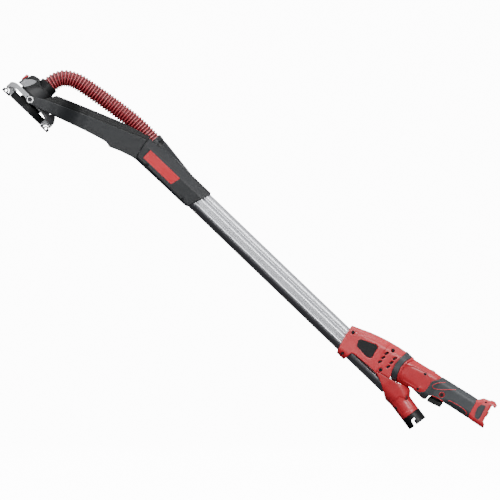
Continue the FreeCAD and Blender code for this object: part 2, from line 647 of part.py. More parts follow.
# ---- rolling carrier: drum and jaws ------------------------------------------------
def make_carrier():
    drum = head_post(DRUM_R, DRUM_LOW, DRUM_HIGH).cut(head_post(DRUM_R - 2.8, DRUM_LOW - 1, DRUM_HIGH - 2.5))
    drum = drum.cut(head_post(38.0, DRUM_HIGH - 3, DRUM_HIGH + 1))
    keep("drum", HEAD, drum)
    blocks, jaws, pins = [], [], []
    for end in (-1, 1):
        outer = HEAD_X + end * (RING_HALF_X - RING_THICK - 3.2)
        side = [(outer, -17.8), (outer, -8.5), (HEAD_X + end * 60.0, -6.2), (HEAD_X + end * 44.0, -6.2),
                (HEAD_X + end * 44.0, -25.0), (HEAD_X + end * 58.0, -25.0), (HEAD_X + end * 62.0, -17.8)]
        block = prism(side, -12.5, 12.5).cut(head_post(DRUM_R, -40, DRUM_HIGH)).cut(head_post(49.0, -40, 10))
        block = fuse(block, rod(4.6, *sorted((outer - end, outer + end * 2.6)), 0, ROLL_Z))
        block = block.cut(rod(3.0, *sorted((outer - end * 9, outer + end * 4)), 0, ROLL_Z))
        blocks.append(block)
        pins.append(rod(3.0, *sorted((outer - end * 8.5, HEAD_X + end * (RING_HALF_X + 0.6))), 0, ROLL_Z))
        centre = HEAD_X + end * JAW_REACH
        jaw = cross_rod(6.3, -14, 14, centre, JAW_Z)
        jaw = fuse(jaw, box(*sorted((centre + end * 3.0, centre + end * 8.6)), -14, 14, -30.2, -22.0),
                   box(*sorted((HEAD_X + end * 58.4, centre)), -14, 14, -30.4, -25.4))
        jaw = jaw.cut(rod(6.6, centre - 12, centre + 12, 0, ROLL_Z))
        jaw = jaw.cut(cross_rod(JAW_BORE_R, -16, 16, centre, JAW_Z))
        bridge = box(*sorted((HEAD_X + end * 52.5, HEAD_X + end * 60.0)), -14, 14, -30.4, -25.0)
        jaws.append(fuse(jaw, bridge))
    keep("carrier_blocks", HEAD, Part.makeCompound(blocks))
    keep("head_jaws", HEAD, Part.makeCompound(jaws))
    keep("roll_pins", HEAD, Part.makeCompound(pins))


# ---- shafts -----------------------------------------------------------------------
def make_shafts():
    joint = shaft_crossing()
    cup = joint_cup(-1)
    cup.translate(vec(joint, 0, SHAFT_Z))
    spin_gear = gear(GEAR_TEETH, TUBE_CUT + 6, TUBE_CUT + 14, SHAFT_Z, 0.5, math.pi / 2)
    shaft = rod(SHAFT_R, joint + 8, TUBE_CUT + 18, 0, SHAFT_Z)
    keep("pole_shaft", POLE, fuse(shaft, cup))
    keep("drive_gear", POLE, spin_gear.cut(rod(SHAFT_R, 0, 500, 0, SHAFT_Z)))
    start = POLE.point(joint, SHAFT_Z)
    far = ARM.inverse(start).x
    arm_shaft = fuse(rod(SHAFT_R, 0, far), Part.makeSphere(JOINT_BALL_R),
                     Part.makeSphere(JOINT_BALL_R, vec(far, 0, 0)))
    keep("arm_shaft", ARM, arm_shaft)


# ---- motor ---------------------------------------------------------------------------
def make_motor():
    x0 = TUBE_CUT + 20
    stator = ring_wall(26.0, 15.0, 414, 454, MOTOR_Z)
    for i in range(6):
        slot = box(410, 460, -2.2, 2.2, 14.0, 20.5)
        slot.rotate(vec(0, 0, 0), X, 60.0 * i)
        slot.translate(vec(0, 0, MOTOR_Z))
        stator = stator.cut(slot)
    keep("stator", POLE, stator)
    coils = []
    for x in (408.5, 454.5):
        coils.append(ring_wall(24.0, 16.5, x, x + 5.0, MOTOR_Z))
    keep("stator_windings", POLE, Part.makeCompound(coils))
    shaft = rod(3.0, TUBE_CUT + 2, 474, 0, MOTOR_Z)
    pinion = gear(PINION_TEETH, TUBE_CUT + 6, TUBE_CUT + 14, MOTOR_Z, 0.5, -math.pi / 2 + math.pi / PINION_TEETH)
    keep("rotor", POLE, fuse(shaft, rod(14.3, 416, 452, 0, MOTOR_Z), pinion))
    blades = [ring_wall(6.0, 3.0, 460.4, 467, MOTOR_Z), ring_wall(21.5, 5.0, 460.4, 461.6, MOTOR_Z)]
    for i in range(11):
        blade = box(461.0, 466.4, -0.7, 0.7, 5.0, 20.6)
        blade.rotate(vec(0, 0, 0), X, 360.0 * i / 11)
        blade.translate(vec(0, 0, MOTOR_Z))
        blades.append(blade)
    keep("fan", POLE, fuse(*blades))
    bearings = []
    for at in (FORK_ROOT + 3, 264):
        bearings.append(ARM.place(ball_bearing(8.0, SHAFT_R + FIT, at, at + 7, 0)))
    bearings.append(POLE.place(ball_bearing(8.0, 3.0 + FIT, x0, x0 + 6, MOTOR_Z)))
    bearings.append(POLE.place(ball_bearing(8.0, 3.0 + FIT, 468.6, 473.6, MOTOR_Z)))
    keep("ball_bearings", Still(), Part.makeCompound(bearings))
    plate = box(x0 - 1.0, x0 + 2.5, -27, 27, -3.5, MOTOR_Z + 16).cut(rod(8.0, x0 - 3, x0 + 8, 0, MOTOR_Z))
    plate = plate.fuse(ring_wall(10.0, 8.0, x0 + 2.5, x0 + 6, MOTOR_Z))
    plate = plate.cut(rod(7.0, x0 - 3, x0 + 8, 0, SHAFT_Z)).removeSplitter()
    keep("bearing_plate", POLE, plate)


# ---- motor housing, handle and battery foot ---------------------------------------------
MOTOR_SIDE = [(352.2, -35.5), (376.0, -36.2), (378.5, -12.0), (386.0, -8.4), (436.0, -5.0), (456.4, -6.0), (455.2, 0.3),
              (490.0, 9.0), (480.8, 24.9), (475.0, 43.3), (473.7, 62.3), (475.6, 84.0), (456.0, 80.9),
              (423.0, 73.0), (401.0, 66.3), (376.4, 57.4), (352.7, 46.9), (333.0, 38.6), (339.0, 4.5),
              (345.3, -16.4)]
MOTOR_STATIONS = [(331, -36.4, 38.4, 30.0, 15.0), (352, -36.4, 47.2, 31.5, 18.0), (376, -36.4, 57.9, 33.5, 22.0),
                  (400, -36.4, 66.4, 35.5, 25.0), (423, -36.4, 73.3, 37.0, 27.0), (456, -36.4, 81.2, 37.8, 29.0),
                  (492, -36.4, 88.5, 37.8, 30.0)]
BAND_SIDE = [(-165.2, -28.0), (-157.6, -45.6), (-143.4, -45.6), (-150.2, -27.5), (-153.2, -9.1),
             (-150.4, 9.9), (-144.0, 22.6), (-141.7, 28.4), (-158.8, 32.4), (-159.9, 24.4),
             (-165.1, 9.6), (-167.7, -9.3)]
# The handle's own side: the red throat, the grip's core and the flared foot.
HANDLE_SIDE = [(-136.0, -44.0), (-104.0, -37.6), (-91.0, -39.6), (-79.0, -40.6), (-66.0, -44.0), (-61.0, -41.0),
               (-57.5, -30.0), (-30.0, -24.4), (0.0, -23.6), (48.0, -24.6), (60.0, -27.6), (89.6, -28.6),
               (98.6, -28.6), (96.0, -19.0), (90.0, -14.0), (88.0, 3.0), (87.4, 31.0), (97.0, 27.6),
               (98.4, 36.6), (89.0, 42.8), (82.5, 43.0), (79.0, 38.6), (62.0, 35.4), (50.0, 23.4), (0.0, 23.0),
               (-53.0, 23.6), (-56.0, 25.4), (-88.0, 25.7), (-139.0, 25.2), (-143.2, 22.0), (-149.6, 9.9),
               (-152.2, -9.1), (-149.4, -27.5), (-142.8, -44.6)]
# The raised lip behind the rubber band.
LIP_SIDE = [(-134.6, 24.0), (-135.6, 28.2), (-141.2, 28.3), (-143.5, 22.6), (-149.9, 9.9), (-152.6, -9.1),
            (-149.7, -27.5), (-142.8, -45.4), (-137.6, -45.4), (-143.2, -29.0), (-146.8, -10.4), (-143.6, 11.7)]
LIP_STATIONS = [(-154, -45.6, 28.4, 37.6, 27.0), (-133, -45.6, 28.4, 36.6, 26.5)]
HANDLE_STATIONS = [(-154, -45.2, 27.0, 35.4, 26.0), (-128, -44.5, 26.0, 33.0, 24.0), (-95, -44.3, 26.0, 28.5, 20.0),
                   (-62, -44.3, 26.0, 23.0, 17.0), (-52, -44.3, 24.0, 19.0, 15.0), (0, -24.0, 23.4, 17.6, 15.0),
                   (46, -25.0, 24.0, 18.6, 15.0), (62, -28.8, 36.0, 29.0, 13.0), (80, -28.8, 41.0, 33.0, 12.0),
                   (100, -28.8, 44.0, 33.0, 11.0)]
GRIP_SIDE = [(-46.0, -25.2), (-12.0, -26.2), (16.0, -26.4), (50.0, -27.2), (55.0, -27.2), (53.0, -15.8),
             (50.9, -2.9), (50.6, 11.4), (51.0, 25.2), (26.0, 26.4), (0.0, 25.6), (-30.0, 25.8), (-51.0, 25.4),
             (-60.0, 12.0), (-69.2, 3.4), (-69.6, -17.7), (-71.5, -28.8), (-81.3, -36.4), (-100.0, -38.2),
             (-84.0, -42.0), (-64.0, -46.2), (-58.0, -42.0), (-56.8, -31.0)]
GRIP_STATIONS = [(-101, -46.5, 26.5, 30.6, 22.0), (-95, -46.5, 26.5, 30.0, 22.0), (-62, -46.5, 26.5, 24.6, 19.0),
                 (-50, -46.5, 26.0, 21.4, 18.0), (0, -26.6, 25.8, 20.0, 17.4), (46, -27.4, 26.4, 21.0, 17.0),
                 (56, -27.6, 26.6, 24.0, 15.0)]
COVER_SIDE = [(-74.6, -0.8), (-71.2, -6.4), (-58.0, -7.6), (-43.3, -12.4), (-26.7, -18.9), (-18.5, -22.2),
              (-8.2, -26.6), (-3.8, -27.2), (10.0, -24.5), (LEG_END, -24.5), (LEG_END, 24.5), (23.2, 26.1),
              (9.0, 38.6), (4.0, 38.6), (-21.5, 21.0), (-40.6, 13.3)]
COVER_STATIONS = [(-76, -28.0, 39.0, 35.0, 18.0), (-40, -28.0, 39.0, 33.0, 22.0), (-10, -27.6, 39.0, 29.0, 24.0),
                  (12, -24.6, 36.0, 25.4, 24.0), (24, -24.5, 25.4, 24.5, 24.0), (LEG_END, -24.5, 24.5, 24.5, 24.0)]
TRIGGER_SIDE = [(-54.6, -34.0), (-50.6, -28.6), (-17.2, -29.0), (-17.6, -41.6), (-30.0, -43.0), (-52.0, -45.4),
                (-54.8, -42.0)]
TRIGGER_PIVOT = (-22.0, -21.0)
BUTTON_AT = (-31.0, -12.7)
DIAL_AT = (-78.0, 15.2)
DIAL_R = 12.6


def make_motor_housing():
    outer = lofted(MOTOR_STATIONS).common(prism(MOTOR_SIDE, -60, 60))
    inner = lofted(MOTOR_STATIONS, WALL).common(prism(inset(MOTOR_SIDE, WALL), -60, 60))
    back = prism([(440, 6.0), (470, 12.0), (476, 26.0), (470.0, 43.3), (469, 62), (470, 74), (440, 70)], -60, 60)
    through = back.copy()
    through.translate(vec(14, 0, 0))
    opening = lofted(MOTOR_STATIONS, WALL + 2.0).common(through)
    shell = outer.cut(inner).cut(opening)
    tube = tube_solid(300, TUBE_CUT).fuse(tube_solid(TUBE_CUT - 1, 520).common(box(300, 520, -40, 40, -60, -4.6)))
    shell = shell.cut(tube)
    for i in range(3):
        for x, z in ((440.0, 52.0), (463.0, 57.0)):
            rise = -13.0 * i
            vent = [(x + 1.2 * i, z + rise), (x + 5 + 1.2 * i, z + rise + 1.0), (x + 2.6 + 1.2 * i, z + rise - 8.6),
                    (x - 2.4 + 1.2 * i, z + rise - 9.6)]
            shell = shell.cut(prism(vent, -60, 60))
    for side in (-1, 1):
        face = side * 34.0
        shell = shell.cut(prism(BADGE_SIDE, *sorted((face, side * 60))))
    for x, z, r, face in MOTOR_SCREWS:
        shell = shell.cut(cross_rod(r + 0.15, -60, -(face - 1.6), x, z))
        shell = shell.cut(cross_rod(r * 0.5, -60, -(face - 12), x, z))
    band = prism(BAND_SIDE, -60, 60)
    band.transformShape(POLE.placement.inverse().multiply(GRIP.placement).toMatrix(), True)
    halves(shell.cut(band), "motor_housing", POLE)
    badges = []
    for side in (-1, 1):
        badges.append(prism(inset(BADGE_SIDE, 0.25), *sorted((side * 34.0, side * 35.4))))
    keep("badge_plates", POLE, Part.makeCompound(badges))


BADGE_SIDE = [(376.2, 9.8), (368.7, 22.9), (372.3, 29.8), (408.2, 45.5), (415.9, 44.5), (422.3, 16.6),
              (419.6, 10.6), (410.8, 7.3)]
MOTOR_SCREWS = [(346.6, 28.0, 4.6, 31.0), (363.5, -27.2, 3.6, 29.5), (447.5, 64.0, 4.6, 34.0),
                (458.5, 8.4, 4.6, 37.5)]


def make_band():
    stations = []
    for x in (-170, -155, -140):
        stations.append((x, -48.0, 33.2 - 0.28 * (x + 158.0), 39.4, 29.0))
    band = lofted(stations).common(prism(BAND_SIDE, -60, 60))
    core = lofted(stations, 3.0).common(box(-180, -130, -60, 60, -60, 26))
    keep("rubber_band", GRIP, band.cut(core))


def make_duct_cover():
    outer = lofted(COVER_STATIONS).common(prism(COVER_SIDE, -60, 60))
    inner = lofted(COVER_STATIONS, 2.6).common(prism(inset(COVER_SIDE, 2.6), -60, 60))
    inner = inner.fuse(rod(LEG_R - 2.6, 10, LEG_END + 1))
    shell = outer.cut(inner)
    into_leg = LEG.placement.inverse().multiply(POLE.placement)
    for solid in (tube_solid(TUBE_CUT - 1, 530).common(box(300, 530, -40, 40, -60, -4.6)),
                  lofted(MOTOR_STATIONS).common(prism(MOTOR_SIDE, -60, 60))):
        solid.transformShape(into_leg.toMatrix(), True)
        shell = shell.cut(solid)
    handle = prism(HANDLE_SIDE, -60, 60)
    handle.transformShape(LEG.placement.inverse().multiply(GRIP.placement).toMatrix(), True)
    shell = shell.cut(handle)
    for x, z, r in COVER_SCREWS:
        shell = shell.cut(cross_rod(r + 0.15, -60, -(LEG_R - 3.2), x, z))
        shell = shell.cut(cross_rod(r * 0.5, -60, -(LEG_R - 9), x, z))
    shell = max(shell.Solids, key=lambda one: one.Volume)
    halves(shell, "duct_cover", LEG)
    connector = rod(CONNECTOR_R, LEG_END, CONNECTOR_END).cut(rod(OUTLET_R, LEG_END - 1, CONNECTOR_END + 1))
    connector = fuse(connector, ring_wall(LEG_R - 2.7, OUTLET_R, LEG_END - 12, LEG_END))
    slot = prism([(72.0, -7.6), (90.0, -10.6), (90.0, -4.0), (77.0, -3.0), (76.0, 2.0), (71.0, 2.0)], -40, 40)
    connector = connector.cut(slot)
    keep("hose_connector", LEG, connector)


COVER_SCREWS = [(20.3, 19.0, 3.3), (25.0, -20.0, 2.6)]


def make_handle():
    lip = lofted(LIP_STATIONS).common(prism(LIP_SIDE, -60, 60))
    outer = fuse(lofted(HANDLE_STATIONS).common(prism(HANDLE_SIDE, -60, 60)), lip)
    inner = lofted(HANDLE_STATIONS, WALL).common(prism(inset(HANDLE_SIDE, WALL), -60, 60))
    shell = outer.cut(inner)
    throat = lofted(HANDLE_STATIONS, 6.0).common(box(-160, -130, -60, 60, -36, 18))
    shell = shell.cut(throat)
    shell = shell.cut(box(-55.6, -16.6, -8.6, 8.6, -60, -18))
    shell = shell.cut(cross_rod(5.6, -60, 0, *BUTTON_AT))
    shell = shell.cut(box(DIAL_AT[0] - 13.4, DIAL_AT[0] + 13.4, -5.0, 5.0, 14, 40))
    shell = shell.cut(box(85.0, 100.0, -24.0, 24.0, -8.0, 20.0))
    grooves = [(62.0, 18.6), (75.0, 22.4), (76.0, 12.0), (78.0, -8.0), (76.6, -17.6), (66.0, -16.4), (60.6, -5.8),
               (59.2, 7.8)]
    for side in (-1, 1):
        shell = shell.cut(prism(grooves, *sorted((side * 31.6, side * 50))))
    for x, z, r, face in HANDLE_SCREWS:
        shell = shell.cut(cross_rod(r + 0.15, -60, -(face - 1.6), x, z))
        shell = shell.cut(cross_rod(r * 0.5, -60, -(face - 9), x, z))
    shell = shell.cut(cross_rod(2.0, -14.8, 14.8, *TRIGGER_PIVOT)).cut(cross_rod(2.0, -12, 12, *DIAL_AT))
    solids = sorted(shell.Solids, key=lambda one: -one.Volume)
    halves(solids[0], "handle", GRIP)
    pads = []
    for side in (-1, 1):
        pads.append(slab(inset(grooves, 0.4), 1.1, 0.6, side * 32.8))
    keep("foot_bumpers", GRIP, Part.makeCompound(pads))


HANDLE_SCREWS = [(-92.2, 8.8, 3.4, 29.0), (-88.6, -31.6, 3.0, 26.0), (70.3, 29.0, 3.0, 31.0)]


def make_grip():
    skin = lofted(GRIP_STATIONS).common(prism(GRIP_SIDE, -60, 60))
    core = lofted(HANDLE_STATIONS).common(prism(HANDLE_SIDE, -60, 60))
    skin = skin.cut(core).cut(cross_rod(7.0, -60, 0, *BUTTON_AT)).cut(box(-55.6, -16.6, -8.6, 8.6, -60, -18))
    skin = max(skin.Solids, key=lambda one: one.Volume)
    halves(skin, "grip_cover", GRIP)


def make_controls():
    trigger = slab(TRIGGER_SIDE, 8.0, 2.4)
    px, pz = TRIGGER_PIVOT
    lug = [(px - 4.5, -30.0), (px + 4.0, -30.0), (px + 4.0, pz), (px, pz + 4.0), (px - 4.5, pz)]
    trigger = fuse(trigger, prism(lug, -3.0, 3.0)).cut(cross_rod(2.0 + FIT, -10, 10, px, pz))
    keep("trigger", GRIP, trigger)
    spring = coil_spring(2.6, 0.5, 1.7, 5.0, vec(-46.0, 0, -27.6), vec(0, 0, 1))
    keep("trigger_spring", GRIP, spring)
    button = cross_rod(5.2, -21.6, -13.0, *BUTTON_AT)
    keep("switch_body", GRIP, box(-56.0, -36.6, -7.6, 7.6, -18.4, 4.0))
    keep("lock_button", GRIP, fuse(button, cross_rod(2.0, -13.2, -6.0, *BUTTON_AT)))
    ring = cross_rod(6.9, -20.9, -19.0, *BUTTON_AT).cut(cross_rod(5.5, -22, -17, *BUTTON_AT))
    keep("button_ring", GRIP, ring)
    spring = coil_spring(3.2, 0.4, 1.3, 4.0, vec(BUTTON_AT[0], -7.2, BUTTON_AT[1]), vec(0, -1, 0))
    keep("button_spring", GRIP, spring)
    dial = cross_rod(DIAL_R, -4.4, 4.4, *DIAL_AT)
    for i in range(30):
        notch = cross_rod(0.6, -5, 5, DIAL_R, 0)
        notch.rotate(vec(0, 0, 0), Y, 12.0 * i)
        notch.translate(vec(DIAL_AT[0], 0, DIAL_AT[1]))
        dial = dial.cut(notch)
    keep("speed_dial", GRIP, dial.cut(cross_rod(2.0 + FIT, -6, 6, *DIAL_AT)))
    pins = [cross_rod(2.0, -14.8, 14.8, px, pz), cross_rod(2.0, -12.0, 12.0, *DIAL_AT)]
    keep("control_pins", GRIP, Part.makeCompound(pins))
    keep("control_board", GRIP, box(-128.0, -98.0, -20.0, 20.0, -24.0, 12.0))


def make_foot():
    plate = box(77.6, 84.4, -23.0, 23.0, -9.6, 21.6)
    for y in (-17.0, 17.0):
        plate = plate.cut(box(80.6, 90.0, y - 2.2, y + 2.2, -7.0, 19.0))
    keep("battery_rail", GRIP, plate)
    blades = []
    for y in (-10.0, -3.4, 3.4, 10.0):
        blades.append(box(84.4, 91.0, y - 0.5, y + 0.5, -1.0, 13.0))
    keep("terminal_blades", GRIP, Part.makeCompound(blades))


def make_screws():
    """Every housing screw, each with its head sunk in its own counterbore."""
    screws = []
    for frame, places in ((POLE, MOTOR_SCREWS), (GRIP, HANDLE_SCREWS),
                          (LEG, [(x, z, r, LEG_R - 1.6) for x, z, r in COVER_SCREWS]),
                          (POLE, [(x, z, 3.1, KNEE_HALF - 0.3) for x, z in KNEE_SCREWS])):
        for x, z, r, face in places:
            screws.append(frame.place(cap_screw(r, x, z, -face, 1.0, 7.0)))
    keep("housing_screws", Still(), Part.makeCompound(screws))


def main():
    make_pole()
    make_knee()
    make_arm()
    make_pivots()
    make_hose()
    make_ring()
    make_hood()
    make_head_drive()
    make_carrier()
    make_shafts()
    make_motor()
    make_motor_housing()
    make_band()
    make_duct_cover()
    make_handle()
    make_grip()
    make_controls()
    make_foot()
    make_screws()
    os.makedirs("parts", exist_ok=True)
    for name, shape in OUT.items():
        shape.exportStep("parts/" + name + ".step")


main()
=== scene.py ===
"""Pole drywall sander: the finished look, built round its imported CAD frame."""

import json
import math

import bmesh
import bpy
import numpy as np
from mathutils import Matrix, Vector
from mathutils.bvhtree import BVHTree

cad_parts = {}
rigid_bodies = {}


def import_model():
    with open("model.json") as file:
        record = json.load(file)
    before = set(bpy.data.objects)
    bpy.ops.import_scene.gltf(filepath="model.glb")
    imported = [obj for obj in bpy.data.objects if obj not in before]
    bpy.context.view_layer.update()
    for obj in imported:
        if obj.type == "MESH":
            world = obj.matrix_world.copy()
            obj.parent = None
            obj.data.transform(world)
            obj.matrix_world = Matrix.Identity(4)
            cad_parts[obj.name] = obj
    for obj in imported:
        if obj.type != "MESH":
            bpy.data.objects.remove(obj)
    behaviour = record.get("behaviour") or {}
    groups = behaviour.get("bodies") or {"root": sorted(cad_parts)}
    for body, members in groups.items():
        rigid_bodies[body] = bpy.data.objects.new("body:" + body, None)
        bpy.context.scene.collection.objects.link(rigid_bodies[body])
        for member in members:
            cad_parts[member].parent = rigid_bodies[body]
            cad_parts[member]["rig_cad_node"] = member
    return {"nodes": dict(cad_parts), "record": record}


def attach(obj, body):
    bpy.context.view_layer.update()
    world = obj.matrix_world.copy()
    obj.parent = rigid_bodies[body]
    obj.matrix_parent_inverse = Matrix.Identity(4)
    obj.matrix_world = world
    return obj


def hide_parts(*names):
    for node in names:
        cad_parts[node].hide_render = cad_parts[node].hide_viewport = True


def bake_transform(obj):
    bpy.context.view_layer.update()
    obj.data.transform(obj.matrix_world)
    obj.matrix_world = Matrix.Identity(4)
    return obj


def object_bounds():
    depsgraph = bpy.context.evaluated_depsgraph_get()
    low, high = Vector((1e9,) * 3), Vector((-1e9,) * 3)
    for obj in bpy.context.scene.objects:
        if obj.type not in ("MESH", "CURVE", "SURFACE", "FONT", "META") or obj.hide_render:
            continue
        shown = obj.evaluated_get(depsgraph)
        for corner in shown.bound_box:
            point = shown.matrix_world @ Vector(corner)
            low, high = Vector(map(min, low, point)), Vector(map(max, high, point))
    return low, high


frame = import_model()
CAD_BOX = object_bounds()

bl_info = {
    "name": "Pole Drywall Sander",
    "version": (1, 0, 0),
    "blender": (4, 5, 0),
    "location": "3D View > Sidebar > Sander",
    "description": "Builds the hose, moulded shells, trims and finishes of a pole drywall sander",
    "category": "Object",
}

MM = 0.001
NODES = frame["nodes"]
SLOT_OF = {part["node"]: part["material_slot"] for part in frame["record"]["subparts"]}

# Suction hose: its line from the head's socket to the knee's port, in metres.
HOSE_ROUTE = [(-1.0009, 0.7568), (-0.977, 0.781), (-0.935, 0.7805), (-0.884, 0.7465), (-0.829, 0.7075),
              (-0.772, 0.663), (-0.737, 0.6245)]


def section_frame(x, z, slope):
    """A straight section's own frame in millimetres: x runs down its slope, z stands square to it."""
    place = Matrix.Translation((x * MM, 0, z * MM))
    return place @ Matrix.Rotation(math.radians(slope), 4, "Y") @ Matrix.Scale(MM, 4)


POLE_SLOPE = 43.8
POLE = section_frame(-519.6, 378.3, POLE_SLOPE)
GRIP = section_frame(0, 0, 32.0)
LEG = section_frame(-145.1, 5.0, 52.5)


# ---------------------------------------------------------------- settings

class SanderFinish(bpy.types.PropertyGroup):
    """Colours of the sander's finishes."""

    red: bpy.props.FloatVectorProperty(name="Shell red", description="Colour of the moulded red shells",
                                       subtype="COLOR", default=(0.52, 0.024, 0.034), min=0, max=1)
    hose_red: bpy.props.FloatVectorProperty(name="Hose red", description="Colour of the hose's ribs",
                                            subtype="COLOR", default=(0.38, 0.014, 0.028), min=0, max=1)
    dark_grey: bpy.props.FloatVectorProperty(name="Dark grey", description="Colour of the knee and arm",
                                             subtype="COLOR", default=(0.017, 0.0185, 0.021), min=0, max=1)
    rubber: bpy.props.FloatVectorProperty(name="Grip rubber", description="Colour of the soft grip covers",
                                          subtype="COLOR", default=(0.032, 0.037, 0.042), min=0, max=1)
    aluminium: bpy.props.FloatVectorProperty(name="Aluminium", description="Tint of the anodised pole",
                                             subtype="COLOR", default=(0.5, 0.51, 0.535), min=0, max=1)


class SanderSizes(bpy.types.PropertyGroup):
    """Sizes of the pieces that are built here."""

    hose_radius: bpy.props.FloatProperty(name="Hose radius", description="Over the crests of the ribs",
                                         default=0.0213, min=0.005, unit="LENGTH", precision=4)
    rib_pitch: bpy.props.FloatProperty(name="Rib pitch", description="Between two turns of the rib",
                                       default=0.0076, min=0.002, unit="LENGTH", precision=4)
    rib_depth: bpy.props.FloatProperty(name="Rib depth", description="From a crest down to a root",
                                       default=0.0042, min=0.0002, unit="LENGTH", precision=4)
    shell_voxel: bpy.props.FloatProperty(name="Shell detail", description="Mesh size of the moulded shells",
                                         default=0.0010, min=0.0005, unit="LENGTH", precision=4)
    pinstripe: bpy.props.FloatProperty(name="Pinstripe width", description="Width of the grip's red lines",
                                       default=0.0016, min=0.0002, unit="LENGTH", precision=4)
    camera_distance: bpy.props.FloatProperty(name="Camera distance", description="From the lens to the tool",
                                             default=20.0, min=1.0, unit="LENGTH")
    frame_width: bpy.props.FloatProperty(name="Frame width", description="Width that the camera takes in",
                                         default=1.225, min=0.1, unit="LENGTH")


# ---------------------------------------------------------------- shader node groups

def put(tree, kind, settings=None, **sockets):
    """Adds a node by its full type name. A socket goes by its name, or nN for the N-th one."""
    node = tree.nodes.new(kind)
    for key, value in (settings or {}).items():
        setattr(node, key, value)
    for key, value in sockets.items():
        numbered = key[0] == "n" and key[1:].isdigit()
        socket = node.inputs[int(key[1:]) if numbered else key.replace("_", " ")]
        if isinstance(value, bpy.types.NodeSocket):
            tree.links.new(value, socket)
        else:
            socket.default_value = value
    return node


def new_node(tree, kind, settings=None, **sockets):
    """Adds a shader node by its short type name."""
    return put(tree, "ShaderNode" + kind, settings, **sockets)


def maths(tree, operation, *values, clamp=False):
    """A Math node's result."""
    sockets = {f"n{i}": value for i, value in enumerate(values)}
    return new_node(tree, "Math", {"operation": operation, "use_clamp": clamp}, **sockets).outputs[0]


def new_group(name, inputs, outputs):
    """An empty shader node group with its interface, and its input and output nodes."""
    tree = bpy.data.node_groups.new(name, "ShaderNodeTree")
    for label, kind, value in inputs:
        socket = tree.interface.new_socket(label, in_out="INPUT", socket_type="NodeSocket" + kind)
        if value is not None:
            socket.default_value = value
    for label, kind in outputs:
        tree.interface.new_socket(label, in_out="OUTPUT", socket_type="NodeSocket" + kind)
    return tree, tree.nodes.new("NodeGroupInput"), tree.nodes.new("NodeGroupOutput")


def moulded_grain():
    """Spark-eroded mould texture, with slow changes of tone over the surface."""
    tree, given, out = new_group("Moulded Grain", [("Position", "Vector", None), ("Scale", "Float", 900.0)],
                                 [("Height", "Float"), ("Tone", "Float"), ("Handling", "Float")])
    place, scale = given.outputs[:2]
    fine = new_node(tree, "TexNoise", Vector=place, Scale=scale, Detail=2.0, Roughness=0.55)
    slow = new_node(tree, "TexNoise", Vector=place, Scale=9.0, Detail=3.0, Roughness=0.5)
    smear = new_node(tree, "TexNoise", Vector=place, Scale=34.0, Detail=4.0, Roughness=0.65, Distortion=0.8)
    tree.links.new(fine.outputs[0], out.inputs[0])
    tree.links.new(slow.outputs[0], out.inputs[1])
    tree.links.new(smear.outputs[0], out.inputs[2])
    return tree


def soft_edges():
    """Rounds moulded edges in the shading, and marks where they have been rubbed."""
    tree, given, out = new_group("Soft Edges", [("Position", "Vector", None), ("Radius", "Float", 0.0012)],
                                 [("Normal", "Vector"), ("Edge", "Float")])
    bevel = new_node(tree, "Bevel", {"samples": 6}, Radius=given.outputs[1])
    true = new_node(tree, "NewGeometry").outputs["Normal"]
    dot = new_node(tree, "VectorMath", {"operation": "DOT_PRODUCT"}, n0=bevel.outputs[0], n1=true)
    edge = maths(tree, "MULTIPLY", maths(tree, "SUBTRACT", 1.0, dot.outputs["Value"]), 5.0, clamp=True)
    rub = new_node(tree, "TexNoise", Vector=given.outputs[0], Scale=120.0, Detail=4.0, Roughness=0.7)
    worn = maths(tree, "MULTIPLY", edge, maths(tree, "SUBTRACT", rub.outputs[0], 0.32, clamp=True))
    tree.links.new(bevel.outputs[0], out.inputs[0])
    tree.links.new(worn, out.inputs[1])
    return tree


def parting_line():
    """The fine line where the left and right shells meet."""
    tree, given, out = new_group("Parting Line", [("Position", "Vector", None), ("Width", "Float", 0.0004)],
                                 [("Line", "Float")])
    split = new_node(tree, "SeparateXYZ", Vector=given.outputs[0])
    away = maths(tree, "DIVIDE", maths(tree, "ABSOLUTE", split.outputs[1]), given.outputs[1])
    tree.links.new(maths(tree, "SUBTRACT", 1.0, away, clamp=True), out.inputs[0])
    return tree


def drawn_lines():
    """Long fine lines along one direction, as extruding or grinding leaves them."""
    tree, given, out = new_group("Drawn Lines", [("Position", "Vector", None), ("Scale", "Float", 1800.0)],
                                 [("Height", "Float"), ("Tone", "Float")])
    place, scale = given.outputs[:2]
    squeeze = (0.006, 1.0, 1.0)
    long = new_node(tree, "VectorMath", {"operation": "MULTIPLY"}, n0=place, n1=squeeze).outputs[0]
    fine = new_node(tree, "TexNoise", Vector=long, Scale=scale, Detail=3.0, Roughness=0.6)
    broad = new_node(tree, "TexNoise", Vector=long, Scale=260.0, Detail=2.0)
    tree.links.new(fine.outputs[0], out.inputs[0])
    tree.links.new(broad.outputs[0], out.inputs[1])
    return tree


GROUPS = {}


def group(tree, name, **sockets):
    """Places one of the shared node groups in a material."""
    if name not in GROUPS:
        makers = {"Moulded Grain": moulded_grain, "Soft Edges": soft_edges, "Parting Line": parting_line,
                  "Drawn Lines": drawn_lines}
        GROUPS[name] = makers[name]()
    node = new_node(tree, "Group", {"node_tree": GROUPS[name]}, **sockets)
    return node.outputs


def blend_colours(tree, share, a, b):
    """Colour a where the share is nought, and b where it is one."""
    mix = tree.nodes.new("ShaderNodeMix")
    mix.data_type = "RGBA"
    for socket, value in ((mix.inputs[0], share), (mix.inputs[6], a), (mix.inputs[7], b)):
        if isinstance(value, bpy.types.NodeSocket):
            tree.links.new(value, socket)
        else:
            socket.default_value = value if isinstance(value, float) else (*value[:3], 1.0)
    return mix.outputs[2]


def spread(tree, value, low, high):
    """A noise's middle range stretched to run from low to high."""
    stretched = new_node(tree, "MapRange", Value=value, From_Min=0.3, From_Max=0.7, To_Min=low, To_Max=high)
    return stretched.outputs[0]


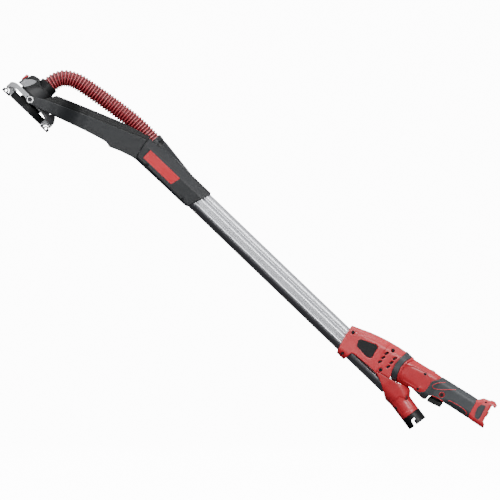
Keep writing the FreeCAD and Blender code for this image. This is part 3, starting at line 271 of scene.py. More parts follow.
def smooth_step(tree, value, low, high):
    """Nought below low, one above high, and a smooth rise between."""
    smooth = {"interpolation_type": "SMOOTHSTEP"}
    step = new_node(tree, "MapRange", smooth, Value=value, From_Min=low, From_Max=high)
    return step.outputs[0]


def shade(colour, factor):
    """A colour made darker or lighter."""
    return tuple(min(1.0, c * factor) for c in colour[:3])


def new_material(name, **shader_sockets):
    """A material with its shader, and the position that its patterns read."""
    material = bpy.data.materials.new(name)
    material.use_nodes = True
    tree = material.node_tree
    shader = tree.nodes["Principled BSDF"]
    for key, value in shader_sockets.items():
        shader.inputs[key.replace("_", " ")].default_value = value
    return material, tree, shader, tree.nodes.new("ShaderNodeTexCoord").outputs["Object"]


def moulded(name, colour, roughness=0.4, grain=900.0, depth=0.05, edge=0.0011, rub=1.8, seam=False,
            **shader_sockets):
    """Moulded plastic or rubber: grain, slow tone changes, rounded and slightly rubbed edges."""
    material, tree, shader, position = new_material(name, **shader_sockets)
    height, tone, handling = group(tree, "Moulded Grain", Position=position, Scale=grain)
    normal, worn = group(tree, "Soft Edges", Position=position, Radius=edge)
    base = blend_colours(tree, spread(tree, tone, 0.0, 1.0), shade(colour, 0.86), shade(colour, 1.12))
    base = blend_colours(tree, worn, base, shade(colour, rub))
    if seam:
        line = group(tree, "Parting Line", Position=position, Width=0.0005)[0]
        base = blend_colours(tree, line, base, shade(colour, 0.25))
        height = maths(tree, "SUBTRACT", height, maths(tree, "MULTIPLY", line, 3.0))
    bump = new_node(tree, "Bump", Strength=depth, Distance=0.0004, Height=height, Normal=normal)
    tree.links.new(base, shader.inputs["Base Color"])
    tree.links.new(spread(tree, handling, roughness - 0.05, roughness + 0.06), shader.inputs["Roughness"])
    tree.links.new(bump.outputs[0], shader.inputs["Normal"])
    return material


def metal(name, colour, roughness=0.3, slope=POLE_SLOPE, lines=1800.0, depth=0.06, edge=0.0005,
          **shader_sockets):
    """Bare or anodised metal with drawn or ground lines down its slope."""
    material, tree, shader, position = new_material(name, Metallic=1.0, **shader_sockets)
    turned = new_node(tree, "Mapping", {"vector_type": "POINT"}, Vector=position,
                      Rotation=(0.0, -math.radians(slope), 0.0))
    height, tone = group(tree, "Drawn Lines", Position=turned.outputs[0], Scale=lines)
    normal, worn = group(tree, "Soft Edges", Position=position, Radius=edge)
    base = blend_colours(tree, spread(tree, tone, 0.0, 1.0), shade(colour, 0.96), shade(colour, 1.03))
    base = blend_colours(tree, worn, base, shade(colour, 1.25))
    bump = new_node(tree, "Bump", Strength=depth, Distance=0.0001, Height=height, Normal=normal)
    tree.links.new(base, shader.inputs["Base Color"])
    tree.links.new(spread(tree, tone, roughness - 0.02, roughness + 0.03), shader.inputs["Roughness"])
    tree.links.new(bump.outputs[0], shader.inputs["Normal"])
    return material


def hose_material(colour):
    """Ribbed hose: a painted highlight in pale pink along the very tops of the ribs, and painted shade, near
    black, in the roots between them.
    """
    material, tree, shader, position = new_material("Hose Red", Coat_Weight=0.35, Coat_Roughness=0.2)
    rib = new_node(tree, "Attribute", {"attribute_name": "rib"}).outputs["Fac"]
    height, tone, handling = group(tree, "Moulded Grain", Position=position, Scale=700.0)
    # Painted shade: the colour falls to near black down in the roots between the ribs.
    crest = smooth_step(tree, rib, 0.15, 0.7)
    base = blend_colours(tree, crest, shade(colour, 0.05), colour)
    # Painted highlight: the very tops of the ribs turn pale pink.
    painted_crest_highlight = smooth_step(tree, rib, 0.9, 1.0)
    base = blend_colours(tree, painted_crest_highlight, base, (0.6, 0.22, 0.22))
    base = blend_colours(tree, spread(tree, tone, 0.0, 0.35), base, shade(colour, 0.6))
    bump = new_node(tree, "Bump", Strength=0.04, Distance=0.0004, Height=height)
    tree.links.new(base, shader.inputs["Base Color"])
    tree.links.new(spread(tree, handling, 0.26, 0.42), shader.inputs["Roughness"])
    tree.links.new(bump.outputs[0], shader.inputs["Normal"])
    return material


def make_finishes():
    """Every finish of the sander, by the record's slot name."""
    chosen = bpy.context.scene.sander_finish
    red, grey, rubber, alu = map(tuple, (chosen.red, chosen.dark_grey, chosen.rubber, chosen.aluminium))
    black = shade(grey, 0.35)
    return {
        "extrusion": metal("Anodised Extrusion", shade(alu, 1.2), 0.34, depth=0.004, lines=900.0),
        "bearing_plastic": moulded("Bearing Plastic", (0.7, 0.68, 0.6), 0.45),
        "grey_shell": moulded("Dark Grey Shell", grey, 0.38, edge=0.0016, seam=True, depth=0.06,
                              Specular_IOR_Level=0.32),
        "red_gloss": moulded("Gloss Red", shade(red, 1.25), 0.22, depth=0.02, Coat_Weight=0.3,
                             Coat_Roughness=0.1),
        "black_plastic": moulded("Black Plastic", black, 0.42, grain=1100.0, rub=2.6,
                                 Specular_IOR_Level=0.3),
        "steel": metal("Ground Steel", (0.55, 0.55, 0.56), 0.28),
        "black_steel": metal("Blackened Steel", (0.035, 0.035, 0.038), 0.36, depth=0.05),
        "bright_steel": metal("Bright Steel", (0.78, 0.78, 0.78), 0.3),
        "hose_red": hose_material(tuple(chosen.hose_red)),
        "cast_silver": metal("Cast Silver", (0.6, 0.61, 0.62), 0.42, lines=700.0, depth=0.2, edge=0.001),
        "light_grey": moulded("Silver Grey Plastic", (0.26, 0.265, 0.275), 0.34, edge=0.001, Metallic=0.3),
        "brass": metal("Brass", (0.68, 0.5, 0.24), 0.3),
        "lamination": metal("Laminations", (0.3, 0.3, 0.31), 0.45, slope=POLE_SLOPE - 90, depth=0.3),
        "copper": metal("Enamelled Copper", (0.6, 0.28, 0.14), 0.32, slope=POLE_SLOPE - 90,
                        depth=0.3),
        "red_shell": moulded("Red Shell", red, 0.36, edge=0.0014, seam=True, depth=0.02, rub=1.2,
                             Coat_Weight=0.1, Coat_Roughness=0.3),
        "grip_rubber": moulded("Grip Rubber", rubber, 0.5, grain=620.0, depth=0.16, edge=0.0014, seam=True,
                               rub=1.5, Sheen_Weight=0.12),
        "board_green": moulded("Board Green", (0.01, 0.07, 0.03), 0.3),
    }


FINISHES = {}


def dress(obj, slot):
    """Gives a piece the finish of the record's slot."""
    obj.data.materials.clear()
    obj.data.materials.append(FINISHES[slot])


# ---------------------------------------------------------------- building helpers

def new_object(name, mesh):
    """Puts a mesh, curve, lamp or camera into the scene."""
    obj = bpy.data.objects.new(name, mesh)
    bpy.context.scene.collection.objects.link(obj)
    return obj


def solid_piece(name, bm):
    """Turns a closed bmesh's faces outwards and makes it an object."""
    bmesh.ops.recalc_face_normals(bm, faces=bm.faces)
    mesh = bpy.data.meshes.new(name)
    bm.to_mesh(mesh)
    bm.free()
    return new_object(name, mesh)


def surface_of(*names):
    """The CAD nodes' surface, to lay trims on."""
    whole = bmesh.new()
    for name in names:
        whole.from_mesh(NODES[name].data)
    tree = BVHTree.FromBMesh(whole)
    whole.free()
    return tree


def lay_on(tree, line, points, side=-1, lift=0.0):
    """Points (x, z in the section's frame) moved across onto a surface, on the -Y or +Y side."""
    laid = []
    for x, z in points:
        start = line @ Vector((x, side * 90.0, z))
        hit, normal, _, _ = tree.ray_cast(start, Vector((0, -side, 0)))
        if hit is not None:
            laid.append(hit + Vector((0, side * lift, 0)))
    return laid


def fine_steps(points, step):
    """A polyline's points at equal steps, for laying on a surface."""
    out = []
    for (x0, z0), (x1, z1) in zip(points, points[1:]):
        count = max(1, round(math.hypot(x1 - x0, z1 - z0) / step))
        out += [(x0 + (x1 - x0) * i / count, z0 + (z1 - z0) * i / count) for i in range(count)]
    return out + [points[-1]]


def round_line(points, closed=False, passes=2):
    """Cuts a polyline's corners in turn, so that it bends smoothly."""
    for _ in range(passes):
        pairs = list(zip(points, points[1:] + points[:1])) if closed else list(zip(points, points[1:]))
        new = []
        for (x0, z0), (x1, z1) in pairs:
            new.append((x0 * 0.75 + x1 * 0.25, z0 * 0.75 + z1 * 0.25))
            new.append((x0 * 0.25 + x1 * 0.75, z0 * 0.25 + z1 * 0.75))
        points = new if closed else [points[0]] + new[1:-1] + [points[-1]]
    return points


def press_panel(mesh, line, outline, depth, slope):
    """Presses a panel of that outline (x, z) into both outer sides of a shell, with a sloped rim."""
    count = len(mesh.vertices)
    places, normals = np.empty(count * 3), np.empty(count * 3)
    mesh.vertices.foreach_get("co", places)
    mesh.vertices.foreach_get("normal", normals)
    places, normals = places.reshape(-1, 3), normals.reshape(-1, 3)
    inverse = np.array(line.inverted())
    local = places @ inverse[:3, :3].T + inverse[:3, 3]
    x, z = local[:, 0], local[:, 2]
    inside, nearest = np.zeros(count, bool), np.full(count, 1e9)
    for (x0, z0), (x1, z1) in zip(outline, outline[1:] + outline[:1]):
        crosses = (z0 > z) != (z1 > z)
        inside ^= crosses & (x < (x1 - x0) * (z - z0) / ((z1 - z0) or 1e-9) + x0)
        run, rise = x1 - x0, z1 - z0
        share = np.clip(((x - x0) * run + (z - z0) * rise) / (run * run + rise * rise), 0, 1)
        nearest = np.minimum(nearest, np.hypot(x - x0 - share * run, z - z0 - share * rise))
    share = np.clip(nearest / slope, 0, 1) * inside
    outward = np.clip(normals[:, 1] * np.sign(places[:, 1]) * 2.0, 0, 1)
    push = depth * MM * share * share * (3 - 2 * share) * outward
    places[:, 1] -= np.sign(places[:, 1]) * push
    mesh.vertices.foreach_set("co", places.ravel())
    mesh.update()


def curve_object(name, runs, order=2):
    """A curve with one spline for each run of points."""
    data = bpy.data.curves.new(name, "CURVE")
    data.dimensions = "3D"
    for run in runs:
        spline = data.splines.new("NURBS" if order > 2 else "POLY")
        spline.points.add(len(run) - 1)
        for point, place in zip(spline.points, run):
            point.co = (*place, 1.0)
        if order > 2:
            spline.order_u = order
            spline.use_endpoint_u = True
    data.resolution_u = 24
    return new_object(name, data)


# ---------------------------------------------------------------- geometry nodes

def new_tree(name, inputs):
    """An empty geometry tree with its interface, and its input and output nodes."""
    tree = bpy.data.node_groups.new(name, "GeometryNodeTree")
    tree.interface.new_socket("Geometry", in_out="INPUT", socket_type="NodeSocketGeometry")
    for label, kind in inputs:
        tree.interface.new_socket(label, in_out="INPUT", socket_type="NodeSocket" + kind)
    tree.interface.new_socket("Geometry", in_out="OUTPUT", socket_type="NodeSocketGeometry")
    return tree, tree.nodes.new("NodeGroupInput"), tree.nodes.new("NodeGroupOutput")


def finish_tree(tree, out, geometry, material):
    """Makes instances real, shades them smooth and gives them their material."""
    real = put(tree, "GeometryNodeRealizeInstances", n0=geometry)
    smooth = put(tree, "GeometryNodeSetShadeSmooth", n0=real.outputs[0])
    last = put(tree, "GeometryNodeSetMaterial", n0=smooth.outputs[0], Material=material)
    tree.links.new(last.outputs[0], out.inputs[0])
    return tree


def grow(source, tree, name, **values):
    """Runs a tree on an object with its named inputs, and returns the result as a plain mesh piece."""
    modifier = source.modifiers.new("Grow", "NODES")
    modifier.node_group = tree
    for item in tree.interface.items_tree:
        if item.item_type == "SOCKET" and item.in_out == "INPUT" and item.name in values:
            modifier[item.identifier] = values[item.name]
    dg = bpy.context.evaluated_depsgraph_get()
    grown = source.evaluated_get(dg)
    mesh = bpy.data.meshes.new_from_object(grown, preserve_all_data_layers=True, depsgraph=dg)
    source.modifiers.clear()
    bpy.data.objects.remove(source)
    mesh.name = name
    return new_object(name, mesh)


def hose_tree():
    """A corrugated hose along a curve: a circle swept along it, with one rib wound round it as a helix."""
    tree, given, out = new_tree("Corrugated Hose", [("Radius", "Float"), ("Rib Pitch", "Float"),
                                                    ("Rib Depth", "Float"), ("Step", "Float"),
                                                    ("Material", "Material")])
    line = put(tree, "GeometryNodeResampleCurve", {"mode": "LENGTH"}, Curve=given.outputs[0],
               Length=given.outputs["Step"])
    along = put(tree, "GeometryNodeSplineParameter")
    held = put(tree, "GeometryNodeCaptureAttribute")
    held.capture_items.new("FLOAT", "Run")
    tree.links.new(line.outputs[0], held.inputs[0])
    tree.links.new(along.outputs["Length"], held.inputs[1])
    root = maths(tree, "SUBTRACT", given.outputs["Radius"], given.outputs["Rib Depth"])
    ring = put(tree, "GeometryNodeCurvePrimitiveCircle", Resolution=56, Radius=root)
    turn = put(tree, "GeometryNodeSplineParameter")
    wound = put(tree, "GeometryNodeCaptureAttribute")
    wound.capture_items.new("FLOAT", "Turn")
    tree.links.new(ring.outputs[0], wound.inputs[0])
    tree.links.new(turn.outputs["Factor"], wound.inputs[1])
    tube = put(tree, "GeometryNodeCurveToMesh", Curve=held.outputs[0], Profile_Curve=wound.outputs[0],
               Fill_Caps=True)
    phase = maths(tree, "ADD", maths(tree, "DIVIDE", held.outputs[1], given.outputs["Rib Pitch"]),
                      wound.outputs[1])
    wave = maths(tree, "COSINE", maths(tree, "MULTIPLY", phase, math.tau))
    lifted = maths(tree, "MULTIPLY_ADD", wave, 0.5, 0.5)
    rib = maths(tree, "POWER", lifted, 0.75)
    height = maths(tree, "MULTIPLY", rib, given.outputs["Rib Depth"])
    normal = put(tree, "GeometryNodeInputNormal")
    push = put(tree, "ShaderNodeVectorMath", {"operation": "SCALE"}, n0=normal.outputs[0], Scale=height)
    moved = put(tree, "GeometryNodeSetPosition", Geometry=tube.outputs[0], Offset=push.outputs[0])
    named = put(tree, "GeometryNodeStoreNamedAttribute", {"data_type": "FLOAT", "domain": "POINT"},
                Geometry=moved.outputs[0], Name="rib", Value=rib)
    return finish_tree(tree, out, named.outputs[0], given.outputs["Material"])


def bead_tree():
    """A low bead that follows curves, such as a pinstripe or a seam."""
    tree, given, out = new_tree("Bead", [("Width", "Float"), ("Material", "Material")])
    half = maths(tree, "MULTIPLY", given.outputs["Width"], 0.5)
    ring = put(tree, "GeometryNodeCurvePrimitiveCircle", Resolution=8, Radius=half)
    bead = put(tree, "GeometryNodeCurveToMesh", Curve=given.outputs[0], Profile_Curve=ring.outputs[0],
               Fill_Caps=True)
    return finish_tree(tree, out, bead.outputs[0], given.outputs["Material"])


def screw_tree():
    """Screw heads, one on each point, scaled by the point's own size and turned about Y by its own turn."""
    tree, given, out = new_tree("Screw Heads", [("Head", "Object"), ("Material", "Material")])
    head = put(tree, "GeometryNodeObjectInfo", Object=given.outputs["Head"]).outputs["Geometry"]
    size = put(tree, "GeometryNodeInputNamedAttribute", {"data_type": "FLOAT"}, Name="size")
    turn = put(tree, "GeometryNodeInputNamedAttribute", {"data_type": "FLOAT"}, Name="turn")
    angle = put(tree, "ShaderNodeCombineXYZ", Y=turn.outputs[0])
    copies = put(tree, "GeometryNodeInstanceOnPoints", Points=given.outputs[0], Instance=head,
                 Rotation=angle.outputs[0], Scale=size.outputs[0])
    return finish_tree(tree, out, copies.outputs[0], given.outputs["Material"])


# ---------------------------------------------------------------- operators

class SANDER_OT_stage(bpy.types.Operator):
    """Camera, pale floor and soft studio lights."""

    bl_idname = "sander.stage"
    bl_label = "Stage"

    def execute(self, context):
        sizes = context.scene.sander_sizes
        camera = bpy.data.cameras.new("Camera")
        camera.sensor_width = 36.0
        camera.lens = camera.sensor_width * sizes.camera_distance / sizes.frame_width
        stand = new_object("Camera", camera)
        stand.location = (-0.50225, -sizes.camera_distance, 0.36015)
        stand.rotation_euler = (math.radians(90), 0, 0)
        context.scene.camera = stand
        self.floor()
        self.lights()
        return {"FINISHED"}

    def floor(self):
        """A round pale floor whose rim rises into a backdrop on every side."""
        level, reach, bend, high, around = CAD_BOX[0].z - 0.12, 32.0, 9.0, 26.0, 96
        profile = [(reach - bend, level)]
        for i in range(1, 13):
            a = math.radians(90 * i / 12)
            profile.append((reach - bend + bend * math.sin(a), level + bend * (1 - math.cos(a))))
        profile.append((reach, level + high))
        points = [(0.0, 0.0, level)]
        for r, z in profile:
            points += [(r * math.cos(math.tau * i / around), r * math.sin(math.tau * i / around), z)
                       for i in range(around)]
        faces = [(0, 1 + i, 1 + (i + 1) % around) for i in range(around)]
        for row in range(len(profile) - 1):
            for i in range(around):
                a, b = 1 + row * around + i, 1 + row * around + (i + 1) % around
                faces.append((a, a + around, b + around, b))
        mesh = bpy.data.meshes.new("Floor")
        mesh.from_pydata(points, [], faces)
        mesh.polygons.foreach_set("use_smooth", [True] * len(faces))
        floor = new_object("Floor", mesh)
        material, tree, shader, position = new_material("Studio Floor", Roughness=0.9)
        tone = new_node(tree, "TexNoise", Vector=position, Scale=0.3, Detail=2.0)
        share = spread(tree, tone.outputs[0], 0.0, 1.0)
        base = blend_colours(tree, share, (0.88, 0.88, 0.88), (0.9, 0.9, 0.9))
        tree.links.new(base, shader.inputs["Base Color"])
        shader.inputs["Emission Color"].default_value = (1, 1, 1, 1)
        shader.inputs["Emission Strength"].default_value = 12.0
        mesh.materials.append(material)
        floor.visible_glossy = False
        floor.visible_diffuse = False

    def lights(self):
        """Soft lights above, in front, at the right, behind and low, under a sky that brightens upwards."""
        for name, place, size, power, target in (
                ("Overhead", (-0.5, -0.5, 2.8), (3.0, 1.4), 60.0, (-0.5, 0, 0.36)),
                ("Front Strip", (0.1, -3.4, 1.5), (3.6, 0.5), 75.0, (-0.5, 0, 0.36)),
                ("Right Fill", (1.5, -2.9, 0.85), (0.9, 1.0), 50.0, (-0.7, 0, 0.5)),
                ("Back Fill", (-0.3, 2.8, 1.6), (2.4, 1.0), 45.0, (-0.5, 0, 0.36)),
                ("Low Fill", (-1.4, -3.2, 0.3), (0.5, 1.2), 10.0, (-0.5, 0, 0.3))):
            data = bpy.data.lights.new(name, "AREA")
            data.shape = "RECTANGLE"
            data.size, data.size_y = size
            data.energy = power
            lamp = new_object(name, data)
            lamp.location = place
            lamp.rotation_euler = (Vector(target) - Vector(place)).to_track_quat("-Z", "Y").to_euler()
        world = bpy.data.worlds.new("Studio")
        bpy.context.scene.world = world
        world.use_nodes = True
        tree = world.node_tree
        sky = tree.nodes["Background"]
        direction = new_node(tree, "TexCoord").outputs["Generated"]
        upward = new_node(tree, "SeparateXYZ", Vector=direction).outputs[2]
        share = smooth_step(tree, upward, 0.05, 0.5)
        colour = blend_colours(tree, share, (0.055, 0.056, 0.06), (1.15, 1.15, 1.18))
        tree.links.new(colour, sky.inputs["Color"])
        sky.inputs["Strength"].default_value = 0.72


class SANDER_OT_hose(bpy.types.Operator):
    """Ribbed suction hose between the head's socket and the knee's port."""

    bl_idname = "sander.hose"
    bl_label = "Suction Hose"

    def execute(self, context):
        sizes = context.scene.sander_sizes
        route = [(x, 0.0, z) for x, z in HOSE_ROUTE]
        line = curve_object("Hose Line", [route], order=3)
        dg = context.evaluated_depsgraph_get()
        drawn = bpy.data.meshes.new_from_object(line.evaluated_get(dg))
        bpy.data.meshes.remove(drawn)
        values = {"Radius": sizes.hose_radius, "Rib Pitch": sizes.rib_pitch, "Rib Depth": sizes.rib_depth,
                  "Step": sizes.rib_pitch / 9, "Material": FINISHES["hose_red"]}
        hose = grow(line, hose_tree(), "ribbed_hose", **values)
        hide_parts("suction_hose")
        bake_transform(hose)
        return {"FINISHED"}


class SANDER_OT_finishes(bpy.types.Operator):
    """Gives every CAD part its finish."""

    bl_idname = "sander.finishes"
    bl_label = "Finishes"

    # Inner parts that show through the vents get blackened steel in place of their own finish: painted
    # shade, so that they read dark.
    PAINTED_SHADE_INNER = {"bearing_plate": "black_steel"}

    def execute(self, context):
        for name, node in NODES.items():
            dress(node, self.PAINTED_SHADE_INNER.get(name, SLOT_OF[name]))
        return {"FINISHED"}


class SANDER_OT_shells(bpy.types.Operator):
    """Moulded shells with softly rounded edges, in place of the CAD halves."""

    bl_idname = "sander.shells"
    bl_label = "Moulded Shells"

    SHELLS = (
        ("motor_shell", ("motor_housing_left", "motor_housing_right"), "pole", "red_shell", 0.95, 9),
        ("handle_shell", ("handle_left", "handle_right"), "pole", "red_shell", 0.9, 8),
        ("duct_shell", ("duct_cover_left", "duct_cover_right"), "pole", "red_shell", 1.0, 9),
        ("grip_shell", ("grip_cover_left", "grip_cover_right"), "pole", "grip_rubber", 0.8, 4),
        ("knee_shell", ("knee_housing_left", "knee_housing_right"), "pole", "grey_shell", 1.0, 7),
        ("arm_shell", ("arm_left", "arm_right"), "pole", "grey_shell", 1.0, 5),
        ("hood_shell", ("hood_left", "hood_right"), "gimbal", "black_plastic", 0.8, 3),
    )
    MOST_TRIANGLES = 180000
    # Panels pressed into a shell's sides: (shell, section, depth, slope, outline), in millimetres.
    PANELS = (
        ("motor_shell", POLE, 1.6, 6.0, [(428.4, 110), (428.4, 59.8), (431.4, 39.0), (439.7, 19.7),
                                         (449.7, 2.2), (455.0, -20), (560, -20), (560, 110)]),
        ("motor_shell", POLE, 0.9, 2.2, [(352.0, 36.5), (385.0, 51.5), (421.0, 64.5), (425.5, 62.0),
                                         (420.0, 60.0), (385.0, 46.5), (353.0, 31.5)]),
        ("handle_shell", GRIP, 1.1, 2.4, [(-143.0, 3.9), (-127.5, 10.4), (-89.0, 15.6), (-81.5, 6.5),
                                          (-84.5, -24.0), (-92.7, -32.5), (-133.0, -32.4), (-139.5, -14.0)]),
        ("knee_shell", POLE, 0.8, 1.6, [(-319.7, -18.7), (-319.7, 6.7), (-219.5, 6.7), (-225.9, -18.7)]),
        ("duct_shell", LEG, 1.2, 3.0, [(6.0, -18.0), (50.0, -18.0), (50.0, 16.0), (22.0, 16.0), (6.0, 6.0)]),
    )

    def execute(self, context):
        for name, halves, body, slot, voxel, passes in self.SHELLS:
            shell = self.merged(name, halves)
            self.soften(shell, voxel * context.scene.sander_sizes.shell_voxel, passes)
            for target, line, depth, slope, outline in self.PANELS:
                if target == name:
                    press_panel(shell.data, line, outline, depth, slope)
            dress(shell, slot)
            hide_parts(*halves)
            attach(shell, body)
        return {"FINISHED"}

    def merged(self, name, halves):
        """Both halves as one closed shell, without the walls where they meet."""
        whole = bmesh.new()
        for half in halves:
            whole.from_mesh(NODES[half].data)
        bmesh.ops.remove_doubles(whole, verts=whole.verts, dist=1e-6)
        flat = [f for f in whole.faces if all(abs(v.co.y) < 2e-6 for v in f.verts)]
        bmesh.ops.delete(whole, geom=flat, context="FACES")
        bmesh.ops.remove_doubles(whole, verts=whole.verts, dist=4e-6)
        mesh = bpy.data.meshes.new(name)
        whole.to_mesh(mesh)
        whole.free()
        return new_object(name, mesh)

    def soften(self, shell, voxel, passes):
        """Rounds a shell's edges on an even mesh, and thins one that has too many triangles."""
        remesh = shell.modifiers.new("Remesh", "REMESH")
        remesh.mode = "VOXEL"
        remesh.voxel_size = voxel
        smooth = shell.modifiers.new("Smooth", "SMOOTH")
        smooth.factor, smooth.iterations = 0.5, passes
        dg = bpy.context.evaluated_depsgraph_get()
        mesh = bpy.data.meshes.new_from_object(shell.evaluated_get(dg))
        triangles = 2 * len(mesh.polygons)
        shell.modifiers.clear()
        shell.data = mesh
        if triangles > self.MOST_TRIANGLES:
            thin = shell.modifiers.new("Thin", "DECIMATE")
            thin.ratio = self.MOST_TRIANGLES / triangles
            dg = bpy.context.evaluated_depsgraph_get()
            thinned = bpy.data.meshes.new_from_object(shell.evaluated_get(dg))
            shell.modifiers.clear()
            shell.data = thinned
        shell.data.polygons.foreach_set("use_smooth", [True] * len(shell.data.polygons))


class SANDER_OT_cuffs(bpy.types.Operator):
    """Port cuff round the hose, web behind the trigger, dark plates behind the vents as painted shade for
    the inside, and the corner under the band.
    """

    bl_idname = "sander.cuffs"
    bl_label = "Cuff, Web and Vent Shade Plates"

    # Cuff rings in the pole's section: place along it, height, half height and half width, in millimetres.
    CUFF = ((-333.0, 27.0, 15.0, 15.0), (-331.0, 27.5, 21.6, 21.2), (-322.0, 27.0, 21.6, 21.0),
            (-308.0, 26.0, 20.8, 19.5), (-296.0, 24.0, 20.4, 17.0), (-284.0, 20.0, 18.0, 14.0))
    # Web rings in the grip's section, from its top down: height, front end, length and half width.
    WEB = ((-19.5, -19.0, 32.0, 8.2), (-22.5, -19.0, 33.0, 8.8), (-30.5, -19.0, 32.5, 8.8),
           (-33.0, -20.0, 31.0, 8.0))

    def execute(self, context):
        cuff = self.closed_rings("port_cuff", [self.oval(*ring) for ring in self.CUFF])
        dress(cuff, "black_plastic")
        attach(cuff, "pole")
        rings = []
        for z, front, length, half in self.WEB:
            rear = front - length
            corners = [(front, half), (front, -half), (rear, -half), (rear, half)]
            outline = round_line(corners, closed=True, passes=3)
            rings.append([GRIP @ Vector((x, y, z)) for x, y in outline])
        web = self.closed_rings("trigger_web", rings)
        dress(web, "black_plastic")
        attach(web, "trigger")
        # Painted shade: dark plates just inside the motor's vents, so that the vents read dark.
        shade_plates = self.plates("vent_screens", self.VENT_SHADE, self.VENT_SHADE_SIDES)
        dress(shade_plates, "black_plastic")
        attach(shade_plates, "pole")
        corner = self.plates("band_corner", self.CORNER, ((-29.0, 29.0),))
        dress(corner, "red_shell")
        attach(corner, "pole")
        return {"FINISHED"}

    # Dark plates behind the motor's vents, painted shade for the inside that shows through them, in the
    # pole's section: outline (x, z) and where they lie across.
    VENT_SHADE = ((432.0, 62.0), (470.0, 66.0), (478.0, 46.0), (480.0, 14.0), (444.0, 14.0), (436.0, 30.0))
    VENT_SHADE_SIDES = ((-30.0, -28.6), (28.6, 30.0))
    # Web that closes the motor shell's lower rear corner against the band.
    CORNER = ((466.0, 20.0), (480.0, 22.0), (490.0, 10.0), (484.0, 2.0), (468.0, 2.0))

    def plate(self, bm, outline, low, high):
        """A flat plate of that outline (x, z) in the pole's section, with both faces closed."""
        back = [bm.verts.new(POLE @ Vector((x, low, z))) for x, z in outline]
        front = [bm.verts.new(POLE @ Vector((x, high, z))) for x, z in outline]
        bm.faces.new(back)
        bm.faces.new(front[::-1])
        for i in range(len(outline)):
            j = (i + 1) % len(outline)
            bm.faces.new((back[j], back[i], front[i], front[j]))

    def plates(self, name, outline, sides):
        """One piece of flat plates with the same outline, each between two places across."""
        bm = bmesh.new()
        for low, high in sides:
            self.plate(bm, outline, low, high)
        return solid_piece(name, bm)

    def oval(self, x, z, high, wide):
        """One ring of the cuff, across the pole."""
        turns = [math.tau * i / 48 for i in range(48)]
        return [POLE @ Vector((x, wide * math.cos(a), z + high * math.sin(a))) for a in turns]

    def closed_rings(self, name, rings):
        """A smooth closed skin through rings of equal counts."""
        bm = bmesh.new()
        rows = [[bm.verts.new(place) for place in ring] for ring in rings]
        for a, b in zip(rows, rows[1:]):
            for i in range(len(a)):
                j = (i + 1) % len(a)
                bm.faces.new((a[i], a[j], b[j], b[i]))
        bm.faces.new(rows[0])
        bm.faces.new(rows[-1][::-1])
        piece = solid_piece(name, bm)
        piece.data.polygons.foreach_set("use_smooth", [len(p.vertices) == 4 for p in piece.data.polygons])
        return piece


class SANDER_OT_trims(bpy.types.Operator):
    """Red pinstripes on the grip."""

    bl_idname = "sander.trims"
    bl_label = "Trims"

    UPPER_LEAF = [(-39, 18.0), (-52, 9.5), (-62.5, -3.0), (-62.0, -8.5), (-54.0, -9.5), (-44.0, -6.0),
                  (-24.0, 6.5), (-8.0, 16.5)]
    LOWER_LEAF = [(-9.0, -18.2), (-9.5, -15.0), (8.0, -13.2), (30.0, -13.2), (43.0, -16.0), (46.0, -20.0),
                  (43.0, -23.5)]
    TRIGGER_LINE = [(-58.0, -31.5), (-50.0, -26.6), (-37.0, -24.2), (-28.0, -24.0), (-19.0, -24.8)]

    def execute(self, context):
        grip = surface_of("grip_cover_left", "grip_cover_right")
        runs = []
        for side in (-1, 1):
            for outline in (self.UPPER_LEAF, self.LOWER_LEAF, self.TRIGGER_LINE):
                run = lay_on(grip, GRIP, fine_steps(round_line(outline), 1.2), side, -0.0002)
                runs.append(run)
        lines = curve_object("Pinstripe Lines", [r for r in runs if len(r) > 2])
        stripes = grow(lines, bead_tree(), "grip_pinstripes", Width=context.scene.sander_sizes.pinstripe,
                       Material=FINISHES["red_gloss"])
        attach(stripes, "pole")
        return {"FINISHED"}


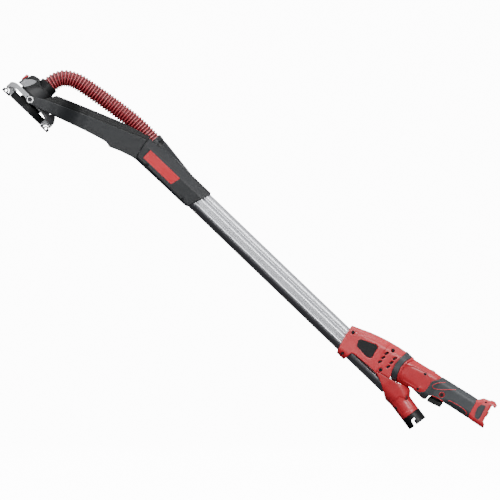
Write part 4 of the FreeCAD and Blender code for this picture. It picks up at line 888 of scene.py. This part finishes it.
class SANDER_OT_screws(bpy.types.Operator):
    """Socket screws in the shells' left side."""

    bl_idname = "sander.screws"
    bl_label = "Screws"

    # Section, place in it (x, z) and the head's radius, in millimetres.
    PLACES = (
        (POLE, 346.6, 28.0, 4.4), (POLE, 363.5, -27.2, 3.4), (POLE, 447.5, 64.0, 4.4),
        (POLE, 458.5, 8.4, 4.4), (POLE, -300.0, -26.0, 3.0), (POLE, -180.0, -26.0, 3.0),
        (LEG, 20.3, 15.9, 4.4), (LEG, 25.3, -18.6, 3.6), (GRIP, -92.2, 8.8, 3.5), (GRIP, -88.6, -31.6, 3.0),
        (GRIP, -31.2, 17.5, 2.4), (GRIP, -10.0, -18.7, 3.0), (GRIP, 70.3, 28.6, 3.0),
    )
    RIM = 1.2           # how far outside the head its seat is measured, in millimetres
    RIM_ANGLES = (0.4, 1.6, 2.8, 4.0, 5.2)
    SUNK = 0.0007       # how far in from the rim the head lies, in metres
    TURN = 0.35         # each socket is turned this much past the last

    def execute(self, context):
        shells = [n for n in NODES if n.startswith(("motor_housing", "handle", "duct_cover", "knee_housing",
                                                    "grip_cover", "foot_bumpers"))]
        skin = surface_of(*shells)
        mesh = bpy.data.meshes.new("Screw Places")
        places, sizes = [], []
        for line, x, z, radius in self.PLACES:
            reach = radius + self.RIM
            ring = [(x + reach * math.cos(a), z + reach * math.sin(a)) for a in self.RIM_ANGLES]
            rim = lay_on(skin, line, ring)
            if not rim:
                continue
            depth = sorted(p.y for p in rim)[len(rim) // 2]
            centre = line @ Vector((x, 0, z))
            places.append((centre.x, depth + self.SUNK, centre.z))
            sizes.append(radius * MM)
        mesh.from_pydata(places, [], [])
        mesh.attributes.new("size", "FLOAT", "POINT").data.foreach_set("value", sizes)
        turns = [self.TURN * i for i in range(len(sizes))]
        mesh.attributes.new("turn", "FLOAT", "POINT").data.foreach_set("value", turns)
        head = self.head()
        screws = grow(new_object("Screw Places", mesh), screw_tree(), "socket_screws", Head=head,
                      Material=FINISHES["black_steel"])
        bpy.data.objects.remove(head)
        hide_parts("housing_screws")
        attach(screws, "pole")
        return {"FINISHED"}

    def head(self):
        """A pan head of radius one, facing -Y, with a six-lobed socket."""
        sides, rings = 24, []
        outline = ((1.0, 0.55, 0), (1.0, 0.1, 0), (0.9, -0.12, 0), (0.62, -0.2, 0), (0.5, -0.2, 1),
                   (0.42, 0.35, 1), (0.0, 0.4, 0))
        bm = bmesh.new()
        for radius, y, lobed in outline[:-1]:
            ring = []
            for i in range(sides):
                a = math.tau * i / sides
                r = radius * (1 + 0.16 * math.cos(6 * a) * lobed)
                ring.append(bm.verts.new((r * math.cos(a), y, r * math.sin(a))))
            rings.append(ring)
        bottom, back = bm.verts.new((0, outline[-1][1], 0)), bm.verts.new((0, 0.55, 0))
        for a, b in zip(rings, rings[1:]):
            for i in range(sides):
                bm.faces.new((a[i], a[(i + 1) % sides], b[(i + 1) % sides], b[i]))
        for i in range(sides):
            bm.faces.new((rings[-1][i], rings[-1][(i + 1) % sides], bottom))
            bm.faces.new((back, rings[0][(i + 1) % sides], rings[0][i]))
        return solid_piece("Screw Head", bm)


class SANDER_PT_panel(bpy.types.Panel):
    """Builds the sander's pieces."""

    bl_idname = "SANDER_PT_panel"
    bl_label = "Pole Drywall Sander"
    bl_space_type = "VIEW_3D"
    bl_region_type = "UI"
    bl_category = "Sander"

    def draw(self, context):
        for operator in OPERATORS:
            self.layout.operator(operator.bl_idname)
        for settings in (context.scene.sander_finish, context.scene.sander_sizes):
            for name in settings.__annotations__:
                self.layout.prop(settings, name)


OPERATORS = (SANDER_OT_stage, SANDER_OT_hose, SANDER_OT_finishes, SANDER_OT_shells, SANDER_OT_cuffs,
             SANDER_OT_trims, SANDER_OT_screws)
CLASSES = (SanderFinish, SanderSizes, *OPERATORS, SANDER_PT_panel)


def register():
    for cls in CLASSES:
        bpy.utils.register_class(cls)
    bpy.types.Scene.sander_finish = bpy.props.PointerProperty(type=SanderFinish)
    bpy.types.Scene.sander_sizes = bpy.props.PointerProperty(type=SanderSizes)


def unregister():
    del bpy.types.Scene.sander_sizes
    del bpy.types.Scene.sander_finish
    for cls in reversed(CLASSES):
        bpy.utils.unregister_class(cls)


def main():
    register()
    FINISHES.update(make_finishes())
    bpy.ops.sander.stage()
    bpy.ops.sander.hose()
    bpy.ops.sander.finishes()
    bpy.ops.sander.shells()
    bpy.ops.sander.cuffs()
    bpy.ops.sander.trims()
    bpy.ops.sander.screws()


if __name__ == "__main__":
    main()
